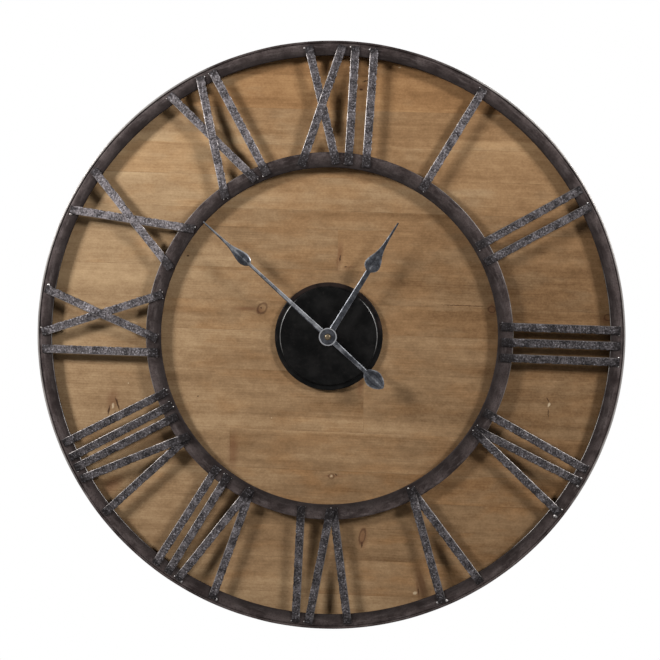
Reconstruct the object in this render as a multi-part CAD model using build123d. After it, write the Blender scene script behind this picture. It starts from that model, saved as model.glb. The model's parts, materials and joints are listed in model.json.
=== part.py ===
"""Round wall clock: pine panel in an iron hoop, strip numerals on two rings, two hands, quartz movement.

Lengths in mm. The clock faces -Y with +Z up, and the wall is the plane y = 0. Everything is drawn around the
hand arbor, with "depth" the distance in front of the wall, and is moved at the end so that the origin lies at
the keyhole of the hanger plate.
"""
import os
from math import cos, pi, radians, sin, sqrt

from build123d import *

# Panel of edge-glued pine staves
BOARD_R = 377.5
BOARD_BACK = 1.5
BOARD_FRONT = 17.5
STAVE_PITCH = 34.1
STAVE_EDGE_Z = -1.7
STAVE_END_JOINTS = {3: 12.0, -3: 44.7}
HANGER_STAVES = {8: "lower_hanger_stave", 9: "upper_hanger_stave"}
MOVEMENT_HOLE_R = 46.0

# Iron hoop, rings and numeral strips
HOOP_R = 381.0
HOOP_THICK = 3.0
HOOP_FRONT = 30.8
RING_BACK = 27.0
RING_FRONT = 30.0
OUTER_RING_INNER_R = 362.0
INNER_RING_R = 238.2
INNER_RING_INNER_R = 218.4
STRIP_WIDTH = 11.0
STRIP_THICK = 2.5
STRIP_OUTER_R = 374.6
STRIP_INNER_R = 223.0
LAP_MARGIN = 0.5
LAP_RAMP = 14.0

# Strips of each numeral: sideways offset from the hour line at the outer end, then at the inner end (clockwise
# positive). The pair after the strips names the strip that laps over and the strip that lies under it.
NUMERALS = {
    "I": ([(14.0, 10.0)], None),
    "II": ([(-1.5, -4.5), (23.5, 18.5)], None),
    "III": ([(-8.0, -13.0), (12.0, 7.0), (32.5, 27.0)], None),
    "IV": ([(-18.0, -16.5), (0.0, 8.5), (48.0, 11.5)], (2, 1)),
    "V": ([(44.5, 6.0), (-11.5, 6.5)], (0, 1)),
    "VI": ([(43.0, 35.5), (26.5, -3.0), (-25.0, -6.0)], (1, 2)),
    "VII": ([(47.0, 40.0), (27.5, 22.5), (12.0, -11.5), (-39.5, -12.5)], (2, 3)),
    "VIII": ([(52.0, 42.5), (31.5, 24.5), (16.5, 8.5), (0.0, -21.5), (-54.0, -22.0)], (3, 4)),
    "IX": ([(-16.0, -21.0), (62.5, -3.0), (5.5, 55.0)], (1, 2)),
    "X": ([(35.0, -26.0), (-25.0, 33.5)], (0, 1)),
    "XI": ([(-22.0, 20.0), (24.0, -26.0), (41.5, 36.0)], (1, 0)),
    "XII": ([(-25.5, 10.5), (18.5, -35.0), (35.0, 26.0), (59.5, 48.5)], (1, 0)),
}

# Tabs, screws, hanger and bumpers on the back
TAB_COUNT = 6
TAB_START = 30.0
TAB_WIDTH = 18.0
TAB_INNER_R = 346.0
TAB_OUTER_R = 380.0
TAB_SCREW_R = 355.0
SCREW_HEAD_R = 3.6
SCREW_SHANK_R = 1.75
SCREW_LENGTH = 13.0
HANGER_HEIGHT = 300.0
HANGER_WIDTH = 60.0
HANGER_TALL = 36.0
HANGER_CORNER_R = 6.0
KEYHOLE_R = 5.0
KEYHOLE_SLOT_R = 2.5
KEYHOLE_RISE = 11.0
HANGER_SCREW_X = 22.0
HEAD_POCKET_DEPTH = 11.0
HEAD_POCKET_WIDTH = 17.0
HEAD_POCKET_CORNER_R = 8.0
BUMPER_R = 9.0
BUMPER_ANGLES = (45, 135, 225, 315)
BUMPER_CIRCLE_R = 330.0

# Centre cap: a raised face inside a lower flange
CAP_R = 70.3
CAP_FRONT = 26.5
CAP_FACE_R = 63.6
CAP_FLANGE_FRONT = 23.3
CAP_SHEET = 1.2
CAP_BEND_R = 1.55
STUD_CIRCLE_R = 58.0
STUD_R = 2.0
STUD_HOLE_R = 2.2
STUD_WELL_R = 6.5
STUD_WELL_FRONT = 6.5
STUD_BACK = 2.1
STUD_ANGLES = (90, 210, 330)
CAP_WASHER_R = 5.0
CAP_WASHER_THICK = 0.8
CAP_NUT_FLATS = 7.0
CAP_NUT_THICK = 3.2

# Quartz movement case and fixings
CASE_SIZE = 56.0
CASE_CORNER_R = 4.0
CASE_WALL = 1.2
CASE_FLOOR = 1.5
CASE_BACK = 7.3
CASE_FRONT = 24.3
COVER_THICK = 1.5
BAY_TOP = -12.0
BAY_WALL = 1.0
BUSH_R = 4.0
BUSH_FRONT = 34.0
BUSH_NUT_FLATS = 12.0
BUSH_NUT_THICK = 3.0
BRASS_WASHER_R = 8.0
BRASS_WASHER_THICK = 0.8
RUBBER_WASHER_R = 11.0

# Wheel train: teeth and module of each mesh, depth of each level, angle from one axis to the next. A tooth flank
# is given as heights from the pitch line in modules, with the half thickness there as a share of the tooth step.
TOOTH_FLANK = ((-1.05, 0.33), (0.0, 0.21), (0.75, 0.09))
PINION_TEETH = 10
CANNON_TEETH, MOTION_TEETH, MOTION_MODULE = 12, 36, 10.0 / 24
HOUR_TEETH, HOUR_MODULE = 40, 0.4
CENTRE_TEETH, CENTRE_MODULE = 60, 0.27
THIRD_TEETH, THIRD_MODULE = 50, 0.27
FIRST_TEETH, FIRST_MODULE = 60, 0.22
WHEEL_THICK = 1.2
PINION_THICK = 1.6
HOUR_LEVEL = 21.2
MOTION_LEVEL = 18.2
CENTRE_LEVEL = 14.6
THIRD_LEVEL = 12.4
FIRST_LEVEL = 10.2
MOTION_ANGLE = 30.0
THIRD_ANGLE = 150.0
FIRST_ANGLE = 80.0
ROTOR_ANGLE = 120.0
RUN_GAP = 0.05
END_SHAKE = 0.1
PIVOT_R = 0.45
PIVOT_LENGTH = 0.8
PIVOT_ROOT = 1.0
ARBOR_R = 0.7
MINUTE_ARBOR_R = 1.6
MINUTE_THREAD_R = 1.4
MOTION_ARBOR_R = 1.0
HOUR_PIPE_R = 2.4
BOSS_WALL = 1.0
BOSS_LENGTH = 2.0
KNOB_R = 5.5
KNOB_FLUTES = 14
KNOB_FLUTE_R = 0.7
KNOB_BACK = 3.3
KNOB_FRONT = 6.9
KNOB_FACE = 1.0
ROTOR_MAGNET_R = 3.1
ROTOR_HOLE_R = 3.7
ROTOR_MAGNET_BACK, ROTOR_MAGNET_FRONT = 13.2, 18.0

# Motor, board and battery inside the case
STATOR_BACK, STATOR_FRONT = 14.8, 16.2
STATOR_LEFT, STATOR_RIGHT = -16.0, 22.0
STATOR_BOTTOM, STATOR_TOP = 13.9, 24.5
STATOR_WINDOW_LEFT, STATOR_WINDOW_RIGHT = -4.0, 18.0
STATOR_WINDOW_BOTTOM, CORE_BOTTOM = 17.5, 21.0
BOBBIN_LEFT, BOBBIN_RIGHT = -3.2, 17.2
BOBBIN_FLANGE = 1.0
BOBBIN_R = 3.9
BOBBIN_TUBE_R = 2.4
WINDING_R = 3.6
POST_R = 1.4
STATOR_POSTS = ((20.0, 15.7), (-14.4, 15.2))
BOARD_POST = (24.0, -5.0)
CIRCUIT_LEFT, CIRCUIT_RIGHT = 13.0, 26.8
CIRCUIT_BACK, CIRCUIT_FRONT = 11.0, 12.2
CIRCUIT_TOP = -1.5
CHIP_R = 2.4
CHIP_THICK = 1.1
CHIP_EDGE_R = 0.9
CHIP_AT = (17.0, -7.4)
CRYSTAL_R = 1.0
CRYSTAL_LENGTH = 6.0
CRYSTAL_AT = (20.0, -3.0)
BATTERY_R = 7.1
BATTERY_DEPTH = 15.5
BATTERY_Z = -19.4
BATTERY_LEFT, BATTERY_RIGHT = -24.2, 25.3
BATTERY_NUB_R = 2.7
CONTACT_THICK = 0.5
CONTACT_HALF_WIDTH = 4.2

# Hands: sizes along the hand from the arbor, and half widths
HOUR_ANGLE = 31.7
MINUTE_ANGLE = 312.7
HOUR_HAND_BACK = 41.0
MINUTE_HAND_BACK = 44.5
HAND_THICK = 1.2
HUB_R = 11.6
HUB_FRONT = 46.7
HUB_RIM = 1.9
HUB_DISH = 0.6
HOUR_HUB_R = 9.0
COLLET_R = 3.8
COLLET_BACK = 37.5
HAND_NUT_R = 4.2
HAND_NUT_FRONT = 51.0
HAND_NUT_DOME_R = 2.6
ARBOR_FRONT = 49.6
HOUR_STEM = ((4.0, 0.0), (3.2, 98.5))
HOUR_SPADE = ((3.2, 98.5), (8.6, 103.0), (10.2, 108.5), (8.6, 116.0), (4.9, 125.0), (2.6, 136.0), (1.7, 150.0))
HOUR_TIP = ((1.7, 150.0), (1.0, 170.9), (0.0, 171.5))
MINUTE_STEM = ((3.3, 0.0), (1.9, 136.5))
MINUTE_SPADE = ((1.9, 136.5), (5.6, 140.5), (7.7, 147.0), (6.9, 154.0), (4.6, 163.0), (2.5, 172.0), (1.6, 184.0))
MINUTE_TIP = ((1.6, 184.0), (0.9, 217.8), (0.0, 218.4))
TAIL_STEM = ((3.4, 0.0), (2.6, 65.0))
TAIL_LEAF = ((2.6, 65.0), (7.2, 69.5), (11.0, 78.0), (9.6, 86.5), (5.2, 93.5), (0.0, 97.0))


def dial_plane(depth):
    """Plane parallel to the wall, seen from the front: X to the right, Y up."""
    return Plane(origin=(0, -depth, 0), x_dir=(1, 0, 0), z_dir=(0, -1, 0))


def slab(sketch, back, front):
    """Sketch drawn on the dial, given thickness from one depth to another."""
    return extrude(dial_plane(back) * sketch, amount=front - back)


def disc(radius, back, front, at=(0, 0)):
    return slab(Pos(*at) * Circle(radius), back, front)


def tube(radius, bore, back, front, at=(0, 0)):
    return slab(Pos(*at) * (Circle(radius) - Circle(bore)), back, front)


def polar(radius, degrees):
    return radius * cos(radians(degrees)), radius * sin(radians(degrees))


def hexagon(flats):
    return RegularPolygon(flats / 2, 6, major_radius=False)


def countersunk_screw(at):
    """Flat-head wood screw driven from the back, its head flush with a 1.5 mm plate."""
    head = Cone(SCREW_HEAD_R, SCREW_SHANK_R, BOARD_BACK, align=(Align.CENTER, Align.CENTER, Align.MIN))
    shank = disc(SCREW_SHANK_R, BOARD_BACK, SCREW_LENGTH, at)
    return dial_plane(0) * Pos(*at) * head + shank


# Back hardware: hanger plate, tabs, screws and bumpers
tab_angles = [TAB_START + index * 360 / TAB_COUNT for index in range(TAB_COUNT)]
tab_screws = [countersunk_screw(polar(TAB_SCREW_R, angle)) for angle in tab_angles]
hanger_screws = [countersunk_screw((side * HANGER_SCREW_X, HANGER_HEIGHT)) for side in (-1, 1)]

tab_middle = (TAB_INNER_R + TAB_OUTER_R) / 2
tab_blank = Pos(tab_middle, 0) * Rectangle(TAB_OUTER_R - TAB_INNER_R, TAB_WIDTH)
hoop_tabs = []
for angle, screw in zip(tab_angles, tab_screws):
    hoop_tabs.append(slab(Rot(0, 0, angle) * tab_blank, 0, BOARD_BACK) - screw)

keyhole = Circle(KEYHOLE_R)
keyhole += Pos(0, KEYHOLE_RISE / 2) * Rectangle(2 * KEYHOLE_SLOT_R, KEYHOLE_RISE)
keyhole += Pos(0, KEYHOLE_RISE) * Circle(KEYHOLE_SLOT_R)
plate_outline = RectangleRounded(HANGER_WIDTH, HANGER_TALL, HANGER_CORNER_R) - keyhole
hanger_plate = slab(Pos(0, HANGER_HEIGHT) * plate_outline, 0, BOARD_BACK)
for screw in hanger_screws:
    hanger_plate -= screw

wall_bumpers = [disc(BUMPER_R, 0, BOARD_BACK, polar(BUMPER_CIRCLE_R, angle)) for angle in BUMPER_ANGLES]

# Panel: one disc with its holes, then sawn into staves and their end joints. The two staves that the pocket for
# the wall screw's head is cut into are named apart from the rest.
panel = tube(BOARD_R, MOVEMENT_HOLE_R, BOARD_BACK, BOARD_FRONT)
pocket_tall = HEAD_POCKET_WIDTH + KEYHOLE_RISE
pocket_outline = RectangleRounded(HEAD_POCKET_WIDTH, pocket_tall, HEAD_POCKET_CORNER_R)
head_pocket = Pos(0, HANGER_HEIGHT + KEYHOLE_RISE / 2) * pocket_outline
panel -= slab(head_pocket, BOARD_BACK, BOARD_BACK + HEAD_POCKET_DEPTH)
for angle in STUD_ANGLES:
    stud_at = polar(STUD_CIRCLE_R, angle)
    panel -= disc(STUD_HOLE_R, BOARD_BACK, BOARD_FRONT, stud_at)
    panel -= disc(STUD_WELL_R, BOARD_BACK, STUD_WELL_FRONT, stud_at)
for screw in tab_screws + hanger_screws:
    panel -= screw

staves = {}
rows = int(BOARD_R // STAVE_PITCH) + 1
for row in range(-rows - 1, rows + 1):
    row_z = STAVE_EDGE_Z + (row + 0.5) * STAVE_PITCH
    joint_x = STAVE_END_JOINTS.get(row)
    cuts = [-HOOP_R, HOOP_R] if joint_x is None else [-HOOP_R, joint_x, HOOP_R]
    for left, right in zip(cuts, cuts[1:]):
        stave = slab(Pos((left + right) / 2, row_z) * Rectangle(right - left, STAVE_PITCH), 0, BOARD_FRONT)
        staves.setdefault(HANGER_STAVES.get(row, "backboard"), []).extend((panel & stave).solids())

# Iron work: hoop on edge, two flat rings, numeral strips
outer_hoop = tube(HOOP_R, HOOP_R - HOOP_THICK, BOARD_BACK, HOOP_FRONT)
outer_ring = tube(HOOP_R - HOOP_THICK, OUTER_RING_INNER_R, RING_BACK, RING_FRONT)
inner_ring = tube(INNER_RING_R, INNER_RING_INNER_R, RING_BACK, RING_FRONT)


def strip_line(hour, offsets):
    """Inner end, direction and length of a strip's centre line, in dial coordinates."""
    turn = radians(30 * hour)
    ends = []
    for radius, offset in ((STRIP_INNER_R, offsets[1]), (STRIP_OUTER_R, offsets[0])):
        along = sqrt(radius**2 - offset**2)
        ends.append(Vector(along * sin(turn) + offset * cos(turn), 0, along * cos(turn) - offset * sin(turn)))
    run = ends[1] - ends[0]
    return ends[0], run.normalized(), run.length


def strip(line, lap=None):
    """Flat strip on the rings. A lap is the stretch, along the strip, that steps up over another strip."""
    start, direction, length = line
    if lap is None:
        path = [(0, 0), (length, 0)]
    else:
        first, last = lap
        path = [(last, STRIP_THICK), (last + LAP_RAMP, 0), (length, 0)]
        if first > LAP_RAMP:
            path = [(0, 0), (first - LAP_RAMP, 0), (first, STRIP_THICK)] + path
        else:
            path = [(0, STRIP_THICK)] + path
    top = [(along, height + STRIP_THICK) for along, height in reversed(path)]
    side_plane = Plane(
        origin=(start.X, -RING_FRONT, start.Z),
        x_dir=(direction.X, 0, direction.Z),
        z_dir=(direction.Z, 0, -direction.X),
    )
    side = make_face(Polyline(*path, *top, close=True))
    return extrude(side_plane * side, amount=STRIP_WIDTH / 2, both=True)


numerals = {}
for hour, (numeral, (strokes, lapped)) in enumerate(NUMERALS.items(), start=1):
    lines = [strip_line(hour, offsets) for offsets in strokes]
    strips = [strip(line) for line in lines]
    if lapped:
        over, under = lapped
        start, direction, _ = lines[over]
        crossing = strips[over] & strips[under]
        along = [(Vector(*vertex) - start).dot(direction) for vertex in crossing.vertices()]
        strips[over] = strip(lines[over], (min(along) - LAP_MARGIN, max(along) + LAP_MARGIN))
    numerals["numeral_" + numeral] = strips

# Centre cap: pressed sheet, its face stepped up from the flange, held by studs through the panel


def cap_form(inset):
    """Solid of revolution under the cap's outer skin, drawn in by the inset."""
    rim_r, flange_front = CAP_R - inset, CAP_FLANGE_FRONT - inset
    face_r, face_front = CAP_FACE_R - inset, CAP_FRONT - inset
    outward, inward = CAP_BEND_R - inset, CAP_BEND_R + inset
    corners = [(rim_r, BOARD_FRONT), (rim_r, flange_front), (face_r, flange_front), (face_r, face_front)]
    skin = FilletPolyline(*corners, (0, face_front), radius=[outward, inward, outward])
    foot = Polyline((0, face_front), (0, BOARD_FRONT), (rim_r, BOARD_FRONT))
    section_plane = Plane(origin=(0, 0, 0), x_dir=(1, 0, 0), z_dir=(0, 0, -1))
    return revolve(section_plane * make_face([skin, foot]), Axis.Y)


cap_inside = CAP_FRONT - CAP_SHEET
centre_cap = cap_form(0) - cap_form(CAP_SHEET)
centre_cap -= disc(BUSH_R, cap_inside, CAP_FRONT)

cap_studs = []
cap_washers = []
cap_nuts = []
washer_back = STUD_WELL_FRONT - CAP_WASHER_THICK
for angle in STUD_ANGLES:
    stud_at = polar(STUD_CIRCLE_R, angle)
    cap_studs.append(disc(STUD_R, STUD_BACK, cap_inside, stud_at))
    cap_washers.append(tube(CAP_WASHER_R, STUD_R, washer_back, STUD_WELL_FRONT, stud_at))
    nut_outline = hexagon(CAP_NUT_FLATS) - Circle(STUD_R)
    cap_nuts.append(slab(Pos(*stud_at) * nut_outline, washer_back - CAP_NUT_THICK, washer_back))

# Wheel axes in the movement
motion_at = polar((CANNON_TEETH + MOTION_TEETH) * MOTION_MODULE / 2, MOTION_ANGLE)
third_at = polar((PINION_TEETH + CENTRE_TEETH) * CENTRE_MODULE / 2, THIRD_ANGLE)
first_step = polar((PINION_TEETH + THIRD_TEETH) * THIRD_MODULE / 2, FIRST_ANGLE)
first_at = (third_at[0] + first_step[0], third_at[1] + first_step[1])
rotor_step = polar((PINION_TEETH + FIRST_TEETH) * FIRST_MODULE / 2, ROTOR_ANGLE)
rotor_at = (first_at[0] + rotor_step[0], first_at[1] + rotor_step[1])

# Movement case, cover and the stack that clamps it to the cap
case_outline = RectangleRounded(CASE_SIZE, CASE_SIZE, CASE_CORNER_R)
inside_size = CASE_SIZE - 2 * CASE_WALL
inside_outline = RectangleRounded(inside_size, inside_size, CASE_CORNER_R - CASE_WALL)
floor_back = CASE_FRONT - CASE_FLOOR
cover_front = CASE_BACK + COVER_THICK
inside_half = inside_size / 2
wall_outline = Pos(0, BAY_TOP + BAY_WALL / 2) * Rectangle(inside_size, BAY_WALL)
movement_case = slab(case_outline, CASE_BACK, CASE_FRONT) - slab(inside_outline, CASE_BACK, floor_back)
movement_case += slab(wall_outline, cover_front, floor_back)
for post_at in STATOR_POSTS:
    movement_case += disc(POST_R, STATOR_FRONT, floor_back, post_at)
movement_case += disc(POST_R, CIRCUIT_FRONT, floor_back, BOARD_POST)
movement_case -= disc(BUSH_R, floor_back, CASE_FRONT)
for pivot_at in (motion_at, third_at, first_at, rotor_at):
    movement_case -= disc(PIVOT_R + RUN_GAP, floor_back, floor_back + PIVOT_LENGTH + END_SHAKE, pivot_at)

cover_tall = inside_half - BAY_TOP
cover_outline = Pos(0, BAY_TOP + cover_tall / 2) * Rectangle(inside_size, cover_tall) & inside_outline
movement_cover = slab(cover_outline, CASE_BACK, cover_front)
movement_cover -= disc(MOTION_ARBOR_R + RUN_GAP, CASE_BACK, cover_front, motion_at)
for pivot_at in ((0, 0), third_at, first_at, rotor_at):
    movement_cover -= disc(PIVOT_R + RUN_GAP, cover_front - PIVOT_LENGTH - END_SHAKE, cover_front, pivot_at)

threaded_bush = tube(BUSH_R, HOUR_PIPE_R + RUN_GAP, floor_back, BUSH_FRONT)
rubber_washer = tube(RUBBER_WASHER_R, BUSH_R, CASE_FRONT, cap_inside)
washer_front = CAP_FRONT + BRASS_WASHER_THICK
brass_washer = tube(BRASS_WASHER_R, BUSH_R, CAP_FRONT, washer_front)
bush_nut = slab(hexagon(BUSH_NUT_FLATS) - Circle(BUSH_R), washer_front, washer_front + BUSH_NUT_THICK)

# Wheels. Each mesh has a tooth of the pinion on the line of centres and a gap of the wheel facing it.


def gear(teeth, module, level, thick, towards, gap):
    """Toothed disc about the origin. A tooth, or a gap, points along the angle "towards"."""
    pitch_r = teeth * module / 2
    step = 2 * pi / teeth
    flank = [(pitch_r + height * module, share) for height, share in TOOTH_FLANK]
    start = radians(towards) + (step / 2 if gap else 0)
    outline = []
    for tooth in range(teeth):
        middle = start + tooth * step
        for radius, share in flank:
            outline.append((radius * cos(middle - share * step), radius * sin(middle - share * step)))
        for radius, share in reversed(flank):
            outline.append((radius * cos(middle + share * step), radius * sin(middle + share * step)))
    return slab(make_face(Polyline(*outline, close=True)), level - thick / 2, level + thick / 2)


def wheel(teeth, module, level, towards):
    return gear(teeth, module, level, WHEEL_THICK, towards, True)


def pinion(teeth, module, level, towards):
    return gear(teeth, module, level, PINION_THICK, towards, False)


def arbor(radius):
    """Turned arbor between the cover and the case floor, with a pivot at each end."""
    back, front = cover_front + END_SHAKE, floor_back - END_SHAKE
    return disc(radius, back, front) + disc(PIVOT_R, back - PIVOT_LENGTH, front + PIVOT_LENGTH)


hour_wheel = wheel(HOUR_TEETH, HOUR_MODULE, HOUR_LEVEL, MOTION_ANGLE)
hour_wheel += disc(HOUR_PIPE_R, HOUR_LEVEL - WHEEL_THICK, HOUR_HAND_BACK + HAND_THICK)
hour_wheel -= disc(MINUTE_ARBOR_R + RUN_GAP, CASE_BACK, HAND_NUT_FRONT)

hub_seat = HUB_FRONT - HUB_DISH
minute_arbor = disc(MINUTE_ARBOR_R, cover_front + END_SHAKE, hub_seat)
minute_arbor += disc(PIVOT_R, cover_front + END_SHAKE - PIVOT_LENGTH, cover_front + PIVOT_ROOT)
minute_arbor += disc(MINUTE_THREAD_R, hub_seat - PIVOT_ROOT, ARBOR_FRONT)
minute_arbor += pinion(CANNON_TEETH, MOTION_MODULE, MOTION_LEVEL, MOTION_ANGLE)

centre_wheel = wheel(CENTRE_TEETH, CENTRE_MODULE, CENTRE_LEVEL, THIRD_ANGLE)
centre_wheel += disc(MINUTE_ARBOR_R + BOSS_WALL, CENTRE_LEVEL, CENTRE_LEVEL + BOSS_LENGTH)
centre_wheel -= disc(MINUTE_ARBOR_R, CASE_BACK, HAND_NUT_FRONT)

motion_wheel = wheel(MOTION_TEETH, MOTION_MODULE, MOTION_LEVEL, MOTION_ANGLE + 180)
motion_wheel += pinion(PINION_TEETH, HOUR_MODULE, HOUR_LEVEL, MOTION_ANGLE + 180)
motion_wheel += disc(MOTION_ARBOR_R, KNOB_BACK + KNOB_FACE, floor_back - END_SHAKE)
motion_wheel += disc(PIVOT_R, floor_back - PIVOT_ROOT, floor_back - END_SHAKE + PIVOT_LENGTH)
motion_wheel = Pos(motion_at[0], 0, motion_at[1]) * motion_wheel

knob_outline = Circle(KNOB_R)
for flute in range(KNOB_FLUTES):
    knob_outline -= Pos(*polar(KNOB_R, flute * 360 / KNOB_FLUTES)) * Circle(KNOB_FLUTE_R)
setting_knob = slab(knob_outline, KNOB_BACK, KNOB_FRONT)
setting_knob -= disc(MOTION_ARBOR_R, KNOB_BACK + KNOB_FACE, KNOB_FRONT)
setting_knob = Pos(motion_at[0], 0, motion_at[1]) * setting_knob

third_wheel = wheel(THIRD_TEETH, THIRD_MODULE, THIRD_LEVEL, FIRST_ANGLE)
third_wheel += pinion(PINION_TEETH, CENTRE_MODULE, CENTRE_LEVEL, THIRD_ANGLE + 180)
third_wheel = Pos(third_at[0], 0, third_at[1]) * (third_wheel + arbor(ARBOR_R))

first_wheel = wheel(FIRST_TEETH, FIRST_MODULE, FIRST_LEVEL, ROTOR_ANGLE)
first_wheel += pinion(PINION_TEETH, THIRD_MODULE, THIRD_LEVEL, FIRST_ANGLE + 180)
first_wheel = Pos(first_at[0], 0, first_at[1]) * (first_wheel + arbor(ARBOR_R))

rotor_pinion = pinion(PINION_TEETH, FIRST_MODULE, FIRST_LEVEL, ROTOR_ANGLE + 180) + arbor(ARBOR_R)
rotor_pinion = Pos(rotor_at[0], 0, rotor_at[1]) * rotor_pinion
rotor_magnet = tube(ROTOR_MAGNET_R, ARBOR_R, ROTOR_MAGNET_BACK, ROTOR_MAGNET_FRONT, rotor_at)

# Step motor: stator loop with the coil on its upper limb


def box_outline(left, right, bottom, top):
    return Pos((left + right) / 2, (bottom + top) / 2) * Rectangle(right - left, top - bottom)


stator_outline = box_outline(STATOR_LEFT, STATOR_RIGHT, STATOR_BOTTOM, STATOR_TOP)
stator_outline -= box_outline(STATOR_WINDOW_LEFT, STATOR_WINDOW_RIGHT, STATOR_WINDOW_BOTTOM, CORE_BOTTOM)
stator_outline -= Pos(*rotor_at) * Circle(ROTOR_HOLE_R)
stator = slab(stator_outline, STATOR_BACK, STATOR_FRONT)

coil_depth = (STATOR_BACK + STATOR_FRONT) / 2
coil_z = (CORE_BOTTOM + STATOR_TOP) / 2


def coil_sleeve(radius, left, right):
    plane = Plane(origin=(left, -coil_depth, coil_z), x_dir=(0, 1, 0), z_dir=(1, 0, 0))
    return extrude(plane * Circle(radius), amount=right - left)


winding_left, winding_right = BOBBIN_LEFT + BOBBIN_FLANGE, BOBBIN_RIGHT - BOBBIN_FLANGE
coil_winding = coil_sleeve(WINDING_R, winding_left, winding_right)
coil_winding -= coil_sleeve(BOBBIN_TUBE_R, winding_left, winding_right)
coil_bobbin = coil_sleeve(BOBBIN_R, BOBBIN_LEFT, BOBBIN_RIGHT) - coil_sleeve(BOBBIN_R, winding_left, winding_right)
coil_bobbin += coil_sleeve(BOBBIN_TUBE_R, BOBBIN_LEFT, BOBBIN_RIGHT)
coil_bobbin -= slab(box_outline(BOBBIN_LEFT, BOBBIN_RIGHT, CORE_BOTTOM, STATOR_TOP), STATOR_BACK, STATOR_FRONT)

# Circuit board with its chip and crystal, and the battery between its contacts
circuit_outline = box_outline(CIRCUIT_LEFT, CIRCUIT_RIGHT, BAY_TOP + BAY_WALL, CIRCUIT_TOP)
circuit_board = slab(circuit_outline, CIRCUIT_BACK, CIRCUIT_FRONT)
clock_chip = disc(CHIP_R, CIRCUIT_FRONT, CIRCUIT_FRONT + CHIP_THICK, CHIP_AT)
clock_chip = fillet(clock_chip.edges().group_by(Axis.Y)[0], CHIP_EDGE_R)
crystal_plane = Plane(
    origin=(CRYSTAL_AT[0] - CRYSTAL_LENGTH / 2, -CIRCUIT_FRONT - CRYSTAL_R, CRYSTAL_AT[1]),
    x_dir=(0, 1, 0),
    z_dir=(1, 0, 0),
)
quartz_crystal = extrude(crystal_plane * Circle(CRYSTAL_R), amount=CRYSTAL_LENGTH)


def battery_sleeve(radius, left, right):
    plane = Plane(origin=(left, -BATTERY_DEPTH, BATTERY_Z), x_dir=(0, 1, 0), z_dir=(1, 0, 0))
    return extrude(plane * Circle(radius), amount=right - left)


contact_plus_left = inside_half - CONTACT_THICK
battery = battery_sleeve(BATTERY_R, BATTERY_LEFT, BATTERY_RIGHT)
battery += battery_sleeve(BATTERY_NUB_R, BATTERY_RIGHT, contact_plus_left)
contact_bottom, contact_top = BATTERY_Z - CONTACT_HALF_WIDTH, BATTERY_Z + CONTACT_HALF_WIDTH
contact_back, contact_front = BATTERY_DEPTH - CONTACT_HALF_WIDTH, BATTERY_DEPTH + CONTACT_HALF_WIDTH
plus_outline = box_outline(contact_plus_left, inside_half, contact_bottom, contact_top)
contact_plus = slab(plus_outline, contact_back, contact_front)
minus_left = -inside_half
bow_middle = (BATTERY_LEFT - CONTACT_THICK, BATTERY_Z)
bow = ThreePointArc((minus_left, contact_bottom), bow_middle, (minus_left, contact_top))
bow_front = ThreePointArc(
    (minus_left, contact_top + CONTACT_THICK),
    (BATTERY_LEFT, BATTERY_Z),
    (minus_left, contact_bottom - CONTACT_THICK),
)
bow_ends = [
    Line((minus_left, contact_top), (minus_left, contact_top + CONTACT_THICK)),
    Line((minus_left, contact_bottom - CONTACT_THICK), (minus_left, contact_bottom)),
]
contact_minus = slab(make_face([bow, bow_ends[0], bow_front, bow_ends[1]]), contact_back, contact_front)

# Hands: half outlines of lines and splines, mirrored, on round hubs


def hand_blade(stem, blade, tip=None):
    """Flat sheet blade pointing up the dial, from its right-hand outline."""
    edges = [Line(*stem), Spline(*blade)]
    if tip:
        edges += [Line(tip[0], tip[1]), Line(tip[1], tip[2])]
    edges += [mirror(edge, Plane.YZ) for edge in edges]
    edges.append(Line((-stem[0][0], 0), (stem[0][0], 0)))
    return make_face(edges)


hour_outline = Rot(0, 0, -HOUR_ANGLE) * hand_blade(HOUR_STEM, HOUR_SPADE, HOUR_TIP) + Circle(HOUR_HUB_R)
hour_hand = slab(hour_outline, HOUR_HAND_BACK, HOUR_HAND_BACK + HAND_THICK)
hour_hand += disc(COLLET_R, COLLET_BACK, HOUR_HAND_BACK)
hour_hand -= disc(HOUR_PIPE_R, COLLET_BACK, HOUR_HAND_BACK + HAND_THICK)

minute_outline = Rot(0, 0, -MINUTE_ANGLE) * hand_blade(MINUTE_STEM, MINUTE_SPADE, MINUTE_TIP)
minute_outline += Rot(0, 0, 180 - MINUTE_ANGLE) * hand_blade(TAIL_STEM, TAIL_LEAF)
minute_hand = slab(minute_outline, MINUTE_HAND_BACK, MINUTE_HAND_BACK + HAND_THICK)
minute_hand += disc(HUB_R, MINUTE_HAND_BACK, HUB_FRONT)
minute_hand -= disc(HUB_R - HUB_RIM, hub_seat, HUB_FRONT)
minute_hand -= disc(MINUTE_ARBOR_R, MINUTE_HAND_BACK, HUB_FRONT)

hand_nut = disc(HAND_NUT_R, hub_seat, HAND_NUT_FRONT)
hand_nut = fillet(hand_nut.edges().group_by(Axis.Y)[0], HAND_NUT_DOME_R)
hand_nut -= disc(MINUTE_THREAD_R, hub_seat, ARBOR_FRONT)

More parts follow.
